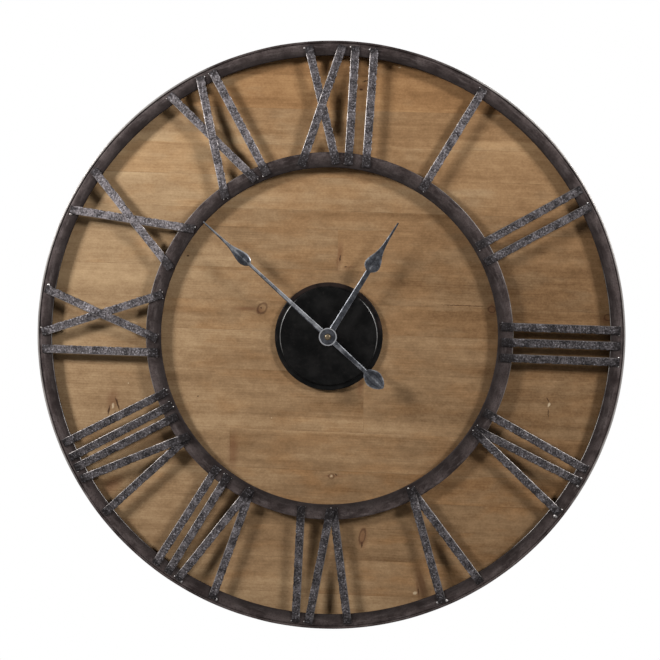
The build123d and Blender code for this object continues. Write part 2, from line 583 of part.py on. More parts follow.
nodes = {
    **staves,
    "outer_hoop": [outer_hoop],
    "outer_ring": [outer_ring],
    "inner_ring": [inner_ring],
    **numerals,
    "hoop_tabs": hoop_tabs,
    "tab_screws": tab_screws,
    "hanger_plate": [hanger_plate],
    "hanger_screws": hanger_screws,
    "wall_bumpers": wall_bumpers,
    "centre_cap": [centre_cap],
    "cap_studs": cap_studs,
    "cap_washers": cap_washers,
    "cap_nuts": cap_nuts,
    "movement_case": [movement_case],
    "movement_cover": [movement_cover],
    "threaded_bush": [threaded_bush],
    "rubber_washer": [rubber_washer],
    "brass_washer": [brass_washer],
    "bush_nut": [bush_nut],
    "hour_wheel": [hour_wheel],
    "minute_arbor": [minute_arbor],
    "centre_wheel": [centre_wheel],
    "motion_wheel": [motion_wheel],
    "setting_knob": [setting_knob],
    "third_wheel": [third_wheel],
    "first_wheel": [first_wheel],
    "rotor_pinion": [rotor_pinion],
    "rotor_magnet": [rotor_magnet],
    "stator": [stator],
    "coil_bobbin": [coil_bobbin],
    "coil_winding": [coil_winding],
    "circuit_board": [circuit_board],
    "clock_chip": [clock_chip],
    "quartz_crystal": [quartz_crystal],
    "battery": [battery],
    "contact_plus": [contact_plus],
    "contact_minus": [contact_minus],
    "hour_hand": [hour_hand],
    "minute_hand": [minute_hand],
    "hand_nut": [hand_nut],
}

os.makedirs("parts", exist_ok=True)
for name, pieces in nodes.items():
    solids = [solid for piece in pieces for solid in piece.solids()]
    placed = [Pos(0, 0, -HANGER_HEIGHT) * solid for solid in solids]
    export_step(Compound(children=placed), f"parts/{name}.step")
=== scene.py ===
"""Wall clock: pine dial in an iron hoop, hammered numerals on two rings, spade hands, quartz movement."""

import json
import math

import bmesh
import bpy
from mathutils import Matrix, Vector, noise
from mathutils.geometry import interpolate_bezier


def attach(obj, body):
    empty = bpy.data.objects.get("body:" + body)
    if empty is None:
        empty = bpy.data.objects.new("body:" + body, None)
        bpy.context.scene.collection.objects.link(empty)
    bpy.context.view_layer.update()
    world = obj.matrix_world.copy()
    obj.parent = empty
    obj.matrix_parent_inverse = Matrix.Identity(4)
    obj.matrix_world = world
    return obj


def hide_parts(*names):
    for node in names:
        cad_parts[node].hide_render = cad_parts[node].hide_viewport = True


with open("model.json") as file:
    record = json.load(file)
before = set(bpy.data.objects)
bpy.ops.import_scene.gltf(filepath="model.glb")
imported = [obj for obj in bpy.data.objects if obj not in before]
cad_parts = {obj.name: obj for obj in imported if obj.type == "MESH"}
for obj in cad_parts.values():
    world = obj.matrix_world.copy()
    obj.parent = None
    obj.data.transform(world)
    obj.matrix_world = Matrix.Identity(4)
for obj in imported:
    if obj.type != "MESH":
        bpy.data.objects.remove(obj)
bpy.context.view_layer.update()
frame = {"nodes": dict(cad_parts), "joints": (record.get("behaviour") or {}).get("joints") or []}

# Panel. The dial is a round board of pine staves glued edge to edge, three of them pieced end to end,
# sanded flat, stained honey brown and lacquered thinly. Tabs behind the hoop hold it in place.
STAVE_LEAN = math.tan(math.radians(2.0))
# Each stave: the level of its lower seam, how much lighter and how much redder it is.
STAVES = (
    (-385.0, 0.15, 0.0),
    (-338.0, 0.06, 0.12),
    (-292.0, -0.05, 0.18),
    (-250.0, 0.03, 0.22),
    (-214.0, 0.07, 0.22),
    (-176.0, 0.03, 0.0),
    (-125.0, 0.01, 0.0),
    (-47.0, 0.01, 0.0),
    (4.0, -0.04, 0.0),
    (43.0, -0.06, 0.0),
    (86.0, -0.05, 0.0),
    (139.0, -0.14, 0.0),
    (163.0, 0.08, 0.0),
    (206.0, 0.03, 0.0),
    (247.0, -0.17, 0.0),
    (294.0, -0.09, 0.42),
    (338.0, -0.32, 0.42),
)
# Each end joint: the seams below and above it, its place, how much lighter the wood right of it is.
END_JOINTS = ((86.0, 139.0, 12.0, 0.08), (-125.0, -47.0, 45.0, 0.10), (-176.0, -125.0, -130.0, -0.12))
JOINT_FADES = 130.0
# Sapwood: level, half height, how much lighter. Spots: place, reach, how much redder or lighter.
SAPWOOD = ((-170.0, 22.0, 0.15), (-118.0, 13.0, 0.24), (-11.0, 16.0, 0.14), (253.0, 9.0, 0.30))
RUDDY_SPOT = (-70.0, 70.0, 240.0, 0.12)
TONE_SPOTS = ((-280.0, 150.0, 240.0, 0.16), (262.0, 215.0, 140.0, 0.20), (215.0, 85.0, 160.0, -0.10))
# Knots, cracks, chips and stains: form, place, half length, half width and turn in degrees.
WOOD_MARKS = (
    ("ring", -87.2, 36.4, 7.6, 5.6, 53),
    ("spot", -88.5, 36.9, 1.1, 0.9, 0),
    ("stain", -90.8, 33.8, 5.5, 5.0, 0),
    ("stain", -107.0, 36.0, 17.0, 3.0, 0),
    ("spot", 42.1, 319.9, 2.4, 1.6, 0),
    ("stain", 42.1, 322.0, 8.0, 4.0, 10),
    ("spot", 47.5, 330.7, 4.0, 0.9, 15),
    ("spot", -290.0, -97.7, 6.5, 1.3, 80),
    ("spot", -278.5, -89.2, 9.5, 1.2, -72),
    ("spot", -283.0, -103.0, 5.0, 1.0, 60),
    ("stain", -285.0, -84.0, 15.0, 8.0, 80),
    ("pale", -284.5, -92.0, 4.0, 1.6, 80),
    ("ring", 43.9, -261.7, 9.8, 3.9, 78),
    ("spot", 43.2, -273.0, 4.0, 0.9, 86),
    ("stain", 44.0, -264.0, 16.0, 6.0, 84),
    ("stain", 120.5, -323.9, 21.0, 4.6, -77),
    ("stain", 123.2, -320.4, 17.0, 2.4, -72),
    ("stain", 116.6, -331.0, 15.0, 2.0, -81),
    ("spot", 117.2, -333.4, 5.0, 0.6, -81),
    ("stain", -286.0, -196.0, 17.0, 9.0, 40),
    ("pale", 112.7, -335.7, 3.2, 2.0, 20),
    ("ring", 360.5, 24.6, 4.6, 4.2, 0),
    ("stain", 357.0, 22.0, 6.0, 5.0, 0),
    ("ring", 211.6, 35.1, 4.8, 4.2, 0),
    ("stain", 211.6, 36.0, 5.0, 9.0, 0),
    ("spot", 174.0, 39.9, 30.0, 0.5, -2),
    ("spot", 284.1, -82.3, 3.8, 0.7, -60),
    ("spot", 284.7, -99.6, 6.0, 0.6, -88),
    ("pale", 285.5, -88.5, 3.0, 1.6, 70),
    ("spot", 14.7, 101.6, 4.4, 1.1, 80),
    ("stain", 14.0, 104.0, 20.0, 4.0, 84),
    ("stain", -126.0, -150.0, 22.0, 7.0, 88),
    ("stain", 41.0, -64.0, 14.0, 4.0, 86),
    ("spot", 21.8, 90.4, 2.2, 0.9, 10),
    ("stain", 27.0, 90.0, 9.0, 1.8, 4),
    ("ring", 3.3, -183.1, 3.9, 3.4, 0),
    ("pale", 3.3, -182.9, 1.6, 1.2, 0),
    ("spot", 9.4, -181.4, 1.7, 1.0, -40),
    ("stain", 4.6, -183.0, 15.0, 1.8, 0),
    ("spot", -172.0, -78.8, 1.6, 0.7, 0),
    ("spot", -184.7, 105.1, 2.0, 1.0, 20),
    ("pale", 92.0, 348.0, 1.6, 0.8, 10),
    ("pale", -264.0, -62.0, 0.9, 0.8, 0),
    ("pale", -75.0, -107.0, 1.1, 0.8, 0),
)
MARK_STRAY = 2.4
THROUGH = 10000.0
ELSEWHERE = 100.0
STAVE_SEED = 1.37
PIECE_SEED = 0.61
MM = 0.001
arbor = next(joint["pos_m"] for joint in frame["joints"] if joint["name"] == "minute_turn")


class Shade:
    """One socket in a material. Sums on it add Math nodes, and node() adds any other node."""

    def __init__(self, tree, socket=None):
        self.tree = tree
        self.socket = socket

    def node(self, kind, settings=(), sockets=(), output=0):
        """Node of that type: its settings first, then a value or a link for each named socket."""
        made = self.tree.nodes.new("ShaderNode" + kind)
        for name, value in dict(settings).items():
            setattr(made, name, value)
        for name, value in dict(sockets).items():
            socket = made.inputs[name]
            if isinstance(value, Shade):
                self.tree.links.new(value.socket, socket)
            elif socket.type == "RGBA":
                socket.default_value = (*value, 1)
            else:
                socket.default_value = value
        if isinstance(output, tuple):
            return [Shade(self.tree, made.outputs[name]) for name in output]
        return Shade(self.tree, made.outputs[output] if made.outputs else None)

    def math(self, operation, *values):
        return self.node("Math", {"operation": operation}, enumerate(values))

    def __add__(self, other):
        return self.math("ADD", self, other)

    def __sub__(self, other):
        return self.math("SUBTRACT", self, other)

    def __rsub__(self, other):
        return self.math("SUBTRACT", other, self)

    def __mul__(self, other):
        return self.math("MULTIPLY", self, other)

    def __truediv__(self, other):
        return self.math("DIVIDE", self, other)

    def __gt__(self, other):
        return self.math("GREATER_THAN", self, other)

    def __abs__(self):
        return self.math("ABSOLUTE", self)

    __radd__ = __add__
    __rmul__ = __mul__


def new_finish(name):
    """Empty material, and the place on its surface in millimetres from the arbor."""
    material = bpy.data.materials.new(name)
    material.use_nodes = True
    material.node_tree.nodes.clear()
    at = Shade(material.node_tree).node("TexCoord", output="Object")
    to_arbor = tuple(-value / MM for value in (arbor[0], 0, arbor[2]))
    scaled = {0: at, 1: (1 / MM,) * 3, 2: to_arbor}
    return material, at.node("VectorMath", {"operation": "MULTIPLY_ADD"}, scaled)


def finished(place, colour, roughness, bump, **sockets):
    """Close a material with its surface shader."""
    values = {"Base Color": colour, "Roughness": roughness, "Normal": bump, **sockets}
    named = {name.replace("_", " "): value for name, value in values.items()}
    surface = place.node("BsdfPrincipled", (), named)
    place.node("OutputMaterial", (), {"Surface": surface})


def cloud(place, size, detail=3.0, roughness=0.55, stretch=(1, 1, 1), shift=0.0):
    """Soft random value about 0.5, with patches of that size in millimetres."""
    scale = tuple(share / size for share in stretch)
    at = place.node("Mapping", (), {"Vector": place, "Scale": scale, "Location": (shift,) * 3})
    looks = {"Vector": at, "Scale": 1.0, "Detail": detail, "Roughness": roughness}
    return place.node("TexNoise", (), looks)


def rise(value, low, high, ease="SMOOTHSTEP"):
    """0 below low and 1 above high, eased between them."""
    limits = {"Value": value, "From Min": low, "From Max": high}
    return value.node("MapRange", {"interpolation_type": ease}, limits)


def mixed(share, first, second):
    """First colour where the share is 0, second where it is 1."""
    return share.node("Mix", {"data_type": "RGBA"}, {0: share, 6: first, 7: second}, 2)


def raised(place, height, depth):
    """Bumped normal from a height and its depth in millimetres."""
    return place.node("Bump", (), {"Strength": 1.0, "Distance": depth * MM, "Height": height})


def axes(place, names="XYZ"):
    """Parts of a place: X to the right, Y towards the wall and Z up."""
    return place.node("SeparateXYZ", (), {0: place}, tuple(names))


def about(x, z, spot_x, spot_z, reach, core):
    """1 in the core of a spot, easing to 0 at its reach."""
    from_x = x - spot_x
    from_z = z - spot_z
    away = x.math("SQRT", from_x * from_x + from_z * from_z)
    return 1 - rise(away, reach * core, reach)


def dress(material, *nodes):
    """Give a material to the solids of those nodes."""
    for node in nodes:
        for holder in frame["nodes"][node].material_slots:
            holder.material = material


def pine():
    material, place = new_finish("pine")
    x, z = axes(place, "XZ")
    level = z + x * STAVE_LEAN
    stave = lighter = redder = level * 0.0
    seam_gap = abs(level - STAVES[0][0])
    below = (0.0, 0.0)
    for seam_level, *looks in STAVES:
        past = level > seam_level
        stave = stave + past * STAVE_SEED
        lighter = lighter + past * (looks[0] - below[0])
        redder = redder + past * (looks[1] - below[1])
        seam_gap = level.math("MINIMUM", seam_gap, abs(level - seam_level))
        below = looks
    for low, high, joint_x, change in END_JOINTS:
        within = (level > low) * (1 - (level > high))
        past = within * (x > joint_x)
        stave = stave + past * PIECE_SEED
        lighter = lighter + past * (1 - rise(x, joint_x, joint_x + JOINT_FADES)) * change
        joint_gap = abs(x - joint_x) + (1 - within) * ELSEWHERE
        seam_gap = level.math("MINIMUM", seam_gap, joint_gap)
    luck = place.node("TexWhiteNoise", {"noise_dimensions": "1D"}, {"W": stave}, "Color")
    hue, shift = luck.node("SeparateColor", (), {0: luck}, ("Green", "Blue"))

    # The marks have ragged edges, and grain lines bend round the rings of knots.
    ragged = place.node("TexNoise", (), {"Vector": place, "Scale": 0.35, "Detail": 2.0}, "Color")
    stray = {0: ragged, 1: (MARK_STRAY,) * 3, 2: place}
    strayed = place.node("VectorMath", {"operation": "MULTIPLY_ADD"}, stray)
    grain_z = level
    marks = {}
    for form, mark_x, mark_z, half_long, half_wide, turn in WOOD_MARKS:
        seat = {"Vector": strayed, "Location": (mark_x + MARK_STRAY / 2, 0, mark_z + MARK_STRAY / 2)}
        seat["Rotation"] = (0, math.radians(-turn), 0)
        seat["Scale"] = (half_long, THROUGH, half_wide)
        seated = place.node("Mapping", {"vector_type": "TEXTURE"}, seat)
        reach = place.node("VectorMath", {"operation": "LENGTH"}, {0: seated}, "Value")
        if form == "ring":
            share = rise(reach, 0.55, 0.95) * (1 - rise(reach, 0.95, 1.35))
            pull = reach.math("EXPONENT", reach * reach * -0.4)
            grain_z = grain_z - (z - mark_z) * pull * 0.7
        elif form == "stain":
            share = 1 - rise(reach, 0.1, 1.5)
        else:
            share = 1 - rise(reach, 0.5, 1.3)
        marks[form] = marks[form].math("MAXIMUM", marks[form], share) if form in marks else share

    grain_at = place.node("CombineXYZ", (), {"X": x + shift * 900.0, "Y": stave * 40.0, "Z": grain_z})
    drift = cloud(grain_at, 60.0, 2.0, stretch=(0.25, 1, 1))
    growth_at = grain_z * 0.30 + drift * 5.0
    growth = growth_at.math("FRACT", growth_at)
    late = rise(growth, 0.45, 0.92) * (1 - rise(growth, 0.92, 1.0))
    fibre = cloud(grain_at, 0.8, 3.0, 0.6, (0.030, 1, 1))
    streak = cloud(grain_at, 4.5, 3.0, 0.55, (0.035, 1, 1))
    patch = cloud(grain_at, 34.0, 3.0, 0.5, (0.26, 1, 1.2))
    band = cloud(grain_at, 15.0, 3.0, 0.5, (0.12, 1, 1), 21.0)
    blotch = cloud(grain_at, 9.0, 4.0, 0.6, (0.55, 1, 1), 6.0)
    chatter = cloud(place, 2.4, 3.0, 0.7, (0.8, 1, 1), 8.0)
    ruddy = cloud(grain_at, 27.0, 3.0, 0.5, (0.5, 1, 1.3), 14.0)
    pore = cloud(grain_at, 0.9, 2.0, 0.6, (0.05, 1, 1), 3.0)

    # The board is lighter towards the top and the left, darker to the right and lighter again near the
    # bottom edge, with broad lighter and darker spots.
    light = (z.math("MAXIMUM", z, -120.0) * 0.90 - x * 0.80) / 1000.0 + lighter - 0.05
    light = light + rise(0.0 - z, 180.0, 330.0) * 0.14
    for *spot, change in TONE_SPOTS:
        light = light + about(x, z, *spot, core=0.2) * change
    for band_level, half_high, change in SAPWOOD:
        away = abs(level - band_level)
        light = light + (1 - rise(away, half_high * 0.5, half_high)) * change
    light = light + (patch - 0.5) * 0.70 + (blotch - 0.5) * 0.72 + (band - 0.5) * 0.75
    light = light + (streak - 0.5) * 0.40 + (fibre - 0.5) * 0.45 + (chatter - 0.5) * 0.75
    light = light - late * rise(drift, 0.40, 0.62) * 0.10
    honey = mixed(rise(light, -0.60, 0.0, "LINEAR"), (0.140, 0.081, 0.040), (0.268, 0.165, 0.086))
    honey = mixed(rise(light, 0.0, 0.90, "LINEAR"), honey, (0.490, 0.335, 0.188))
    ruddy = ruddy + (hue - 0.5) * 0.20 + (0.5 - band) * 0.45 + (z + x) / 2200.0 + redder * 0.35
    *spot, change = RUDDY_SPOT
    ruddy = ruddy + about(x, z, *spot, core=0.3) * change
    tint = {0: rise(ruddy, 0.42, 0.72) * (0.46 + redder), 6: honey, 7: (1.05, 0.90, 0.74)}
    honey = honey.node("Mix", {"data_type": "RGBA", "blend_type": "MULTIPLY"}, tint, 2)
    honey = mixed(rise(pore, 0.60, 0.75) * 0.22, honey, (0.110, 0.058, 0.027))
    honey = mixed(marks["stain"] * 0.60, honey, (0.155, 0.068, 0.034))
    honey = mixed(marks["ring"] * 0.62, honey, (0.055, 0.022, 0.013))
    honey = mixed(marks["spot"] * 0.88, honey, (0.040, 0.017, 0.010))
    honey = mixed(marks["pale"] * 0.70, honey, (0.600, 0.470, 0.310))
    seam = (1 - rise(seam_gap, 0.10, 0.50)) * rise(cloud(grain_at, 45.0, 2.0), 0.40, 0.60)
    honey = mixed(seam * 0.35, honey, (0.105, 0.055, 0.026))

    height = fibre * 0.5 + pore * 0.35 - late * 0.12 - seam * 0.8
    dull = 0.52 + (streak - 0.5) * 0.35 + marks["stain"] * 0.08
    finished(place, honey, dull, raised(place, height, 0.12), Specular_IOR_Level=0.06)
    return material


dress(pine(), "backboard", "lower_hanger_stave", "upper_hanger_stave")

# Hoop and rings. The hoop is flat bar rolled on edge, and the two rings are flat bar rolled in the plane
# of the dial. The outer ring is welded inside the hoop, and the numerals carry the inner one. All have
# a blackened patina with bright edges, partly worn metal and partly painted highlight kept to the sides
# that face the lamps. Each ring is also darkened towards its inner edge, which is painted shade.
# Each bar: inner and outer radius, back, front, crown, and how bright its inner edge, front and outer
# edge are, partly worn metal and partly painted highlight.
HOOP = (378.0, 380.85, 1.5, 30.65, 0.0, (0.4, 0.8, 1.1))
OUTER_RING = (362.0, 378.0, 27.0, 30.0, 0.5, (0.74, 0.0, 0.0))
INNER_RING = (218.4, 238.2, 27.0, 30.0, 0.4, (0.5, 0.0, 0.85))
RING_CHAMFER = 0.75
RING_STEPS = 288
ROLLED_ROUND = 60.0
ROLLED_UNEVEN = 0.14
ROLLED_PATCH = 30.0
RING_SPLIT = 300.0
HIGHLIGHT_SPLIT = 370.0
OUTER_EDGE = 2.0
WELD = 0.002


def on_dial(x, z, depth):
    """Point from its millimetres right of the arbor, above the arbor and out from the wall."""
    return Vector((arbor[0] + x * MM, -depth * MM, arbor[2] + z * MM))


def piece(name, body, material, points, faces, sharp=40.0, **values):
    """Mesh object that rides on a body. Each named value, such as wear, is held at every point."""
    mesh = bpy.data.meshes.new(name)
    mesh.from_pydata(points, [], faces)
    mesh.materials.append(material)
    for value, numbers in values.items():
        mesh.attributes.new(value, "FLOAT", "POINT").data.foreach_set("value", numbers)
    shell = bmesh.new()
    shell.from_mesh(mesh)
    bmesh.ops.remove_doubles(shell, verts=shell.verts, dist=WELD * MM)
    bmesh.ops.recalc_face_normals(shell, faces=shell.faces)
    shell.to_mesh(mesh)
    shell.free()
    mesh.shade_smooth()
    mesh.set_sharp_from_angle(angle=math.radians(sharp))
    made = bpy.data.objects.new(name, mesh)
    bpy.context.scene.collection.objects.link(made)
    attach(made, body)
    return made


def circle(radius, sides, first=0.0):
    """Even places on a circle, from a first angle in degrees."""
    turns = [math.radians(first + 360 * step / sides) for step in range(sides)]
    return [(radius * math.cos(turn), radius * math.sin(turn)) for turn in turns]


def tube_faces(count, rings, closed=False):
    """Faces between rings of count points; a closed tube joins its last ring to its first."""
    faces = []
    for ring in range(rings if closed else rings - 1):
        start = ring * count
        following = (ring + 1) % rings * count
        for index in range(count):
            after = (index + 1) % count
            faces.append((start + index, start + after, following + after, following + index))
    return faces


def turned(section, steps, uneven=0.0):
    """Points, faces and wears of a closed section of (radius, depth, wear) turned about the arbor."""
    points = []
    wears = []
    for up, right in circle(1.0, steps):
        for radius, depth, rub_and_highlight in section:
            place = Vector((radius * right, depth * 2, radius * up))
            out = radius + uneven * noise.noise(place / ROLLED_PATCH)
            forward = depth + uneven * noise.noise(place / ROLLED_PATCH + Vector((7, 3, 5)))
            points.append(on_dial(out * right, out * up, forward))
            wears.append(rub_and_highlight)
    return points, tube_faces(len(section), steps, closed=True), wears


def flat_bar(inner, outer, back, front, crowned, rub_and_highlight_levels):
    """Section of a rolled bar: crowned front, chamfered front edges and softened back edges.

    The levels give how bright its inner edge, its front and its outer edge are: partly worn metal and
    partly painted highlight.
    """
    cut = RING_CHAMFER
    ease = cut / 2
    middle = (inner + outer) / 2
    half = middle - inner - cut
    shares = [step / 5 for step in range(-4, 5)]
    crown = [(middle + half * share, front - crowned * share**2, rub_and_highlight_levels[1]) for share in shares]
    front = front - crowned
    return [
        (inner + ease, back, 0.0),
        (inner, back + ease, 0.2 * rub_and_highlight_levels[0]),
        (inner, front - cut, 0.75 * rub_and_highlight_levels[0]),
        (inner + cut * 0.35, front - cut * 0.3, rub_and_highlight_levels[0]),
        (inner + cut, front, 0.6 * rub_and_highlight_levels[0]),
        *crown,
        (outer - cut, front, 0.6 * rub_and_highlight_levels[2]),
        (outer - cut * 0.35, front - cut * 0.3, rub_and_highlight_levels[2]),
        (outer, front - cut, 0.75 * rub_and_highlight_levels[2]),
        (outer, back + ease, 0.0),
        (outer - ease, back, 0.0),
    ]


def held(place, name):
    """Value of that name that the mesh holds at its points."""
    return place.node("Attribute", {"attribute_name": name}, (), "Fac")


def black_iron():
    material, place = new_finish("black_iron")
    wear = held(place, "wear")
    x, y, z = axes(place)
    out = x.math("SQRT", x * x + z * z)
    rolled = {"X": x / out * ROLLED_ROUND, "Y": out + y, "Z": z / out * ROLLED_ROUND}
    round_at = place.node("CombineXYZ", (), rolled)
    patch = cloud(place, 22.0, 4.0, 0.6)
    smear = cloud(round_at, 4.0, 4.0, 0.65, shift=4.0)
    grit = cloud(place, 1.9, 4.0, 0.7, shift=9.0)
    skin = mixed(rise(patch, 0.32, 0.68), (0.024, 0.017, 0.016), (0.078, 0.060, 0.057))
    skin = mixed(rise(smear, 0.46, 0.72) * 0.65, skin, (0.125, 0.102, 0.098))
    skin = mixed(rise(grit, 0.46, 0.68) * 0.55, skin, (0.012, 0.008, 0.008))
    # Painted shade: each ring is darkened from near its outer edge to its inner edge, standing in for the
    # shade on its inner side.
    outer_ring_shade_ramp = rise(out, OUTER_RING[0], OUTER_RING[1] - OUTER_EDGE) * (out > RING_SPLIT)
    inner_ring_shade_ramp = rise(out, INNER_RING[0], INNER_RING[1] - OUTER_EDGE) * (1 - (out > RING_SPLIT))
    painted_inner_shade = 1 - (outer_ring_shade_ramp + inner_ring_shade_ramp)
    skin = mixed(painted_inner_shade * 0.78, skin, (0.011, 0.008, 0.0075))
    # Painted highlight: the bright metal on the edges is partly wear and partly highlight. It is kept to
    # the left and right of each ring, reaching further round the upper half, and round the lower half on
    # the inner part of the outer ring, where the lamps glint.
    aside = abs(x) / out
    painted_highlight_sides = rise(aside + z / out * 0.3, 0.35, 0.85)
    inside = (out > RING_SPLIT) * (1 - (out > HIGHLIGHT_SPLIT))
    painted_highlight_sides = painted_highlight_sides + inside * (rise(aside - z / out * 0.3, 0.70, 0.95) - painted_highlight_sides)
    rub_and_highlight = rise(wear * painted_highlight_sides + (smear - 0.5) * 0.45 + (grit - 0.5) * 0.15, 0.50, 0.85)
    skin = mixed(rub_and_highlight * 0.85, skin, (0.330, 0.308, 0.292))
    dull = 0.46 + (smear - 0.5) * 0.4 - rub_and_highlight * 0.14
    bump = raised(place, patch * 0.6 + smear * 0.7 + grit * 0.35, 0.28)
    finished(place, skin, dull, bump, Metallic=0.30 + rub_and_highlight * 0.65, Specular_IOR_Level=0.10)
    return material


iron = black_iron()
for name, node, bar in (
    ("hoop_bar", "outer_hoop", HOOP),
    ("outer_ring_bar", "outer_ring", OUTER_RING),
    ("inner_ring_bar", "inner_ring", INNER_RING),
):
    ring_points, ring_faces, ring_wear = turned(flat_bar(*bar), RING_STEPS, ROLLED_UNEVEN)
    ring = piece(name, "frame", iron, ring_points, ring_faces, wear=ring_wear)
    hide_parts(node)

# Numerals. Each stroke is a cut of narrow flat bar, hammered all over, blackened and rubbed bright along
# its edges. It lies on the fronts of both rings, tack-welded at its ends. Where two strokes cross, one is
# bent over the other.
RING_FRONT = 30.0
STRIP_STEP = 1.4
STRIP_HALF = 5.5
STRIP_EDGE = (
    (5.20, 0.0, 0.0),
    (STRIP_HALF, 0.4, 0.2),
    (STRIP_HALF, 1.4, 0.8),
    (5.35, 2.0, 1.0),
    (5.00, 2.35, 0.9),
    (4.60, 2.5, 0.2),
)
STRIP_SECTION = (
    *((-across, up, rub_and_highlight) for across, up, rub_and_highlight in STRIP_EDGE),
    *((across, 2.5, 0.0) for across in (-3.6, -2.4, -1.2, 0.0, 1.2, 2.4, 3.6)),
    *STRIP_EDGE[::-1],
)
STRIP_TONES = {
    "I": 0.145, "II": 0.10, "III": 0.074, "IV": 0.090, "V": 0.088, "VI": 0.082,
    "VII": 0.108, "VIII": 0.084, "IX": 0.138, "X": 0.208, "XI": 0.174, "XII": 0.118,
}
STRAIGHT_EDGE = {"VII": 1, "VIII": 1}
STRIP_TOP = 2.2
END_BEVEL = 0.5
END_NARROWS = 0.93
END_RISES = 0.25
END_FLATTENS = 0.8
TOOTH_LONG = 3.9
TOOTH_REACH = 0.6
TOOTH_DEEP = 0.85
TOOTH_FROM = 2.4
TOOTHED_WEAR = 0.72
DENT_LONG = 2.6
DENT_WIDE = 4.6
DENT_REACH = 0.75
DENT_DEEP = 0.22
LAP_EASE = (-2.4, -0.8, 0.8, 2.4)
SOOT_ENDS = (8.0, -1.0)
SOOT_FADES = 16.0
SOOT_STRAYS = 9.0
SOOT_PATCH = (6.0, 4.0)
TACK_SIDES = 9
TACK_TOP = 0.9
TACK_PROFILE = ((0.55, 0.75), (0.9, 0.4), (1.0, -0.02))
TACK_UNEVEN = 0.6
TACK_LUMPS = 1.7
TACK_RADII = ((0.5, 1.3), (1.2, 2.9))
TACK_INSET = 1.2
TACK_BEYOND = 1.6
TACK_WEARS = (1.33, 1.62)
TACK_MISSING = (0.12, -0.04)
TACK_ROWS = ((-STRIP_HALF, -2.6, 2.6, STRIP_HALF), (-STRIP_HALF, STRIP_HALF))
TACK_DIM_BELOW = -120.0


def stroke_lines(node):
    """Strokes of a numeral, from its solids: a point abreast of the arbor, a direction and the heights.

    The heights are pairs of distance along the stroke and height of its underside above the rings.
    """
    solids = bmesh.new()
    solids.from_mesh(frame["nodes"][node].data)
    bmesh.ops.remove_doubles(solids, verts=solids.verts, dist=WELD * MM)
    seen = set()
    lines = []
    for first in solids.verts:
        if first in seen:
            continue
        seen.add(first)
        corners = [first]
        for corner in corners:
            for edge in corner.link_edges:
                other = edge.other_vert(corner)
                if other not in seen:
                    seen.add(other)
                    corners.append(other)
        edges = [edge for corner in corners for edge in corner.link_edges if edge.calc_face_angle(0) > 1]
        longest = max(edges, key=lambda edge: edge.calc_length())
        run = longest.verts[1].co - longest.verts[0].co
        direction = Vector((run.x, run.z)).normalized()
        spots = [Vector((corner.co.x - arbor[0], corner.co.z - arbor[2])) / MM for corner in corners]
        if direction.dot(spots[0]) < 0:
            direction = -direction
        side = Vector((direction.y, -direction.x))
        offsets = [spot.dot(side) for spot in spots]
        heights = {}
        for corner, spot in zip(corners, spots):
            along = round(spot.dot(direction), 1)
            height = -corner.co.y / MM - RING_FRONT
            heights[along] = min(height, heights.get(along, height))
        lines.append((side * (min(offsets) + max(offsets)) / 2, direction, sorted(heights.items())))
    solids.free()
    return lines


def height_at(heights, along):
    """Height of a stroke's underside at a distance along it."""
    for (start, low), (end, high) in zip(heights, heights[1:]):
        if along <= end:
            return low + (high - low) * min(max((along - start) / (end - start), 0), 1)
    return heights[-1][1]


def eased(value, low, high):
    """The same as rise, for plain numbers."""
    share = min(max((value - low) / (high - low), 0), 1)
    return share * share * (3 - 2 * share)


def capped_faces(count, rings):
    """Faces of an open tube, with a face over each of its ends."""
    last = (rings - 1) * count
    return [tuple(range(count)), tuple(range(last, last + count)), *tube_faces(count, rings)]


def stroke(base, direction, heights, luck, straight):
    """Points, faces, wears and soots of one hammered strip, and each point's place along and across it.

    The edge on the straight side, 1 or -1, is left as rolled, and blows of the hammer notch the other.
    """
    side = Vector((direction.y, -direction.x))
    first, last = heights[0][0], heights[-1][0]
    steps = round((last - first) / STRIP_STEP)
    middle = [first + (last - first) * step / steps for step in range(1, steps)]
    stations = [first, first + END_BEVEL, *middle, last - END_BEVEL, last]
    points = []
    values = []
    for along in stations:
        lift = sum(height_at(heights, along + shift) for shift in LAP_EASE) / len(LAP_EASE)
        at_end = along in (first, last)
        to_inner = along - first - SOOT_ENDS[0]
        to_outer = last - along - SOOT_ENDS[1]
        notch = noise.voronoi(Vector((along / TOOTH_LONG, 0.5, luck)))[0][0]
        tooth = TOOTH_DEEP * max(0, 1 - (notch / TOOTH_REACH) ** 2)
        for across, up, rub_and_highlight in STRIP_SECTION:
            nearest = noise.voronoi(Vector((along / DENT_LONG, across / DENT_WIDE, luck)))[0][0]
            dent = max(0, 1 - (nearest / DENT_REACH) ** 2) if up > STRIP_TOP else 0
            wide = across
            if across * straight < 0:
                wide -= math.copysign(tooth * eased(abs(across), TOOTH_FROM, STRIP_HALF), across)
                rub_and_highlight *= TOOTHED_WEAR * (1 - 0.5 * tooth / TOOTH_DEEP)
            up = up - dent * DENT_DEEP
            if at_end:
                wide *= END_NARROWS
                up = END_RISES + END_FLATTENS * up
            spot = base + direction * along + side * wide
            points.append(on_dial(spot.x, spot.y, RING_FRONT + lift + up))
            stray = noise.noise(Vector((along / SOOT_PATCH[0], across / SOOT_PATCH[1], luck + 3)))
            soot = 1 - eased(min(to_inner, to_outer) + SOOT_STRAYS * stray, 0, SOOT_FADES)
            values.append((rub_and_highlight, soot, along + luck * 100, across))
    return points, capped_faces(len(STRIP_SECTION), len(stations)), *zip(*values)


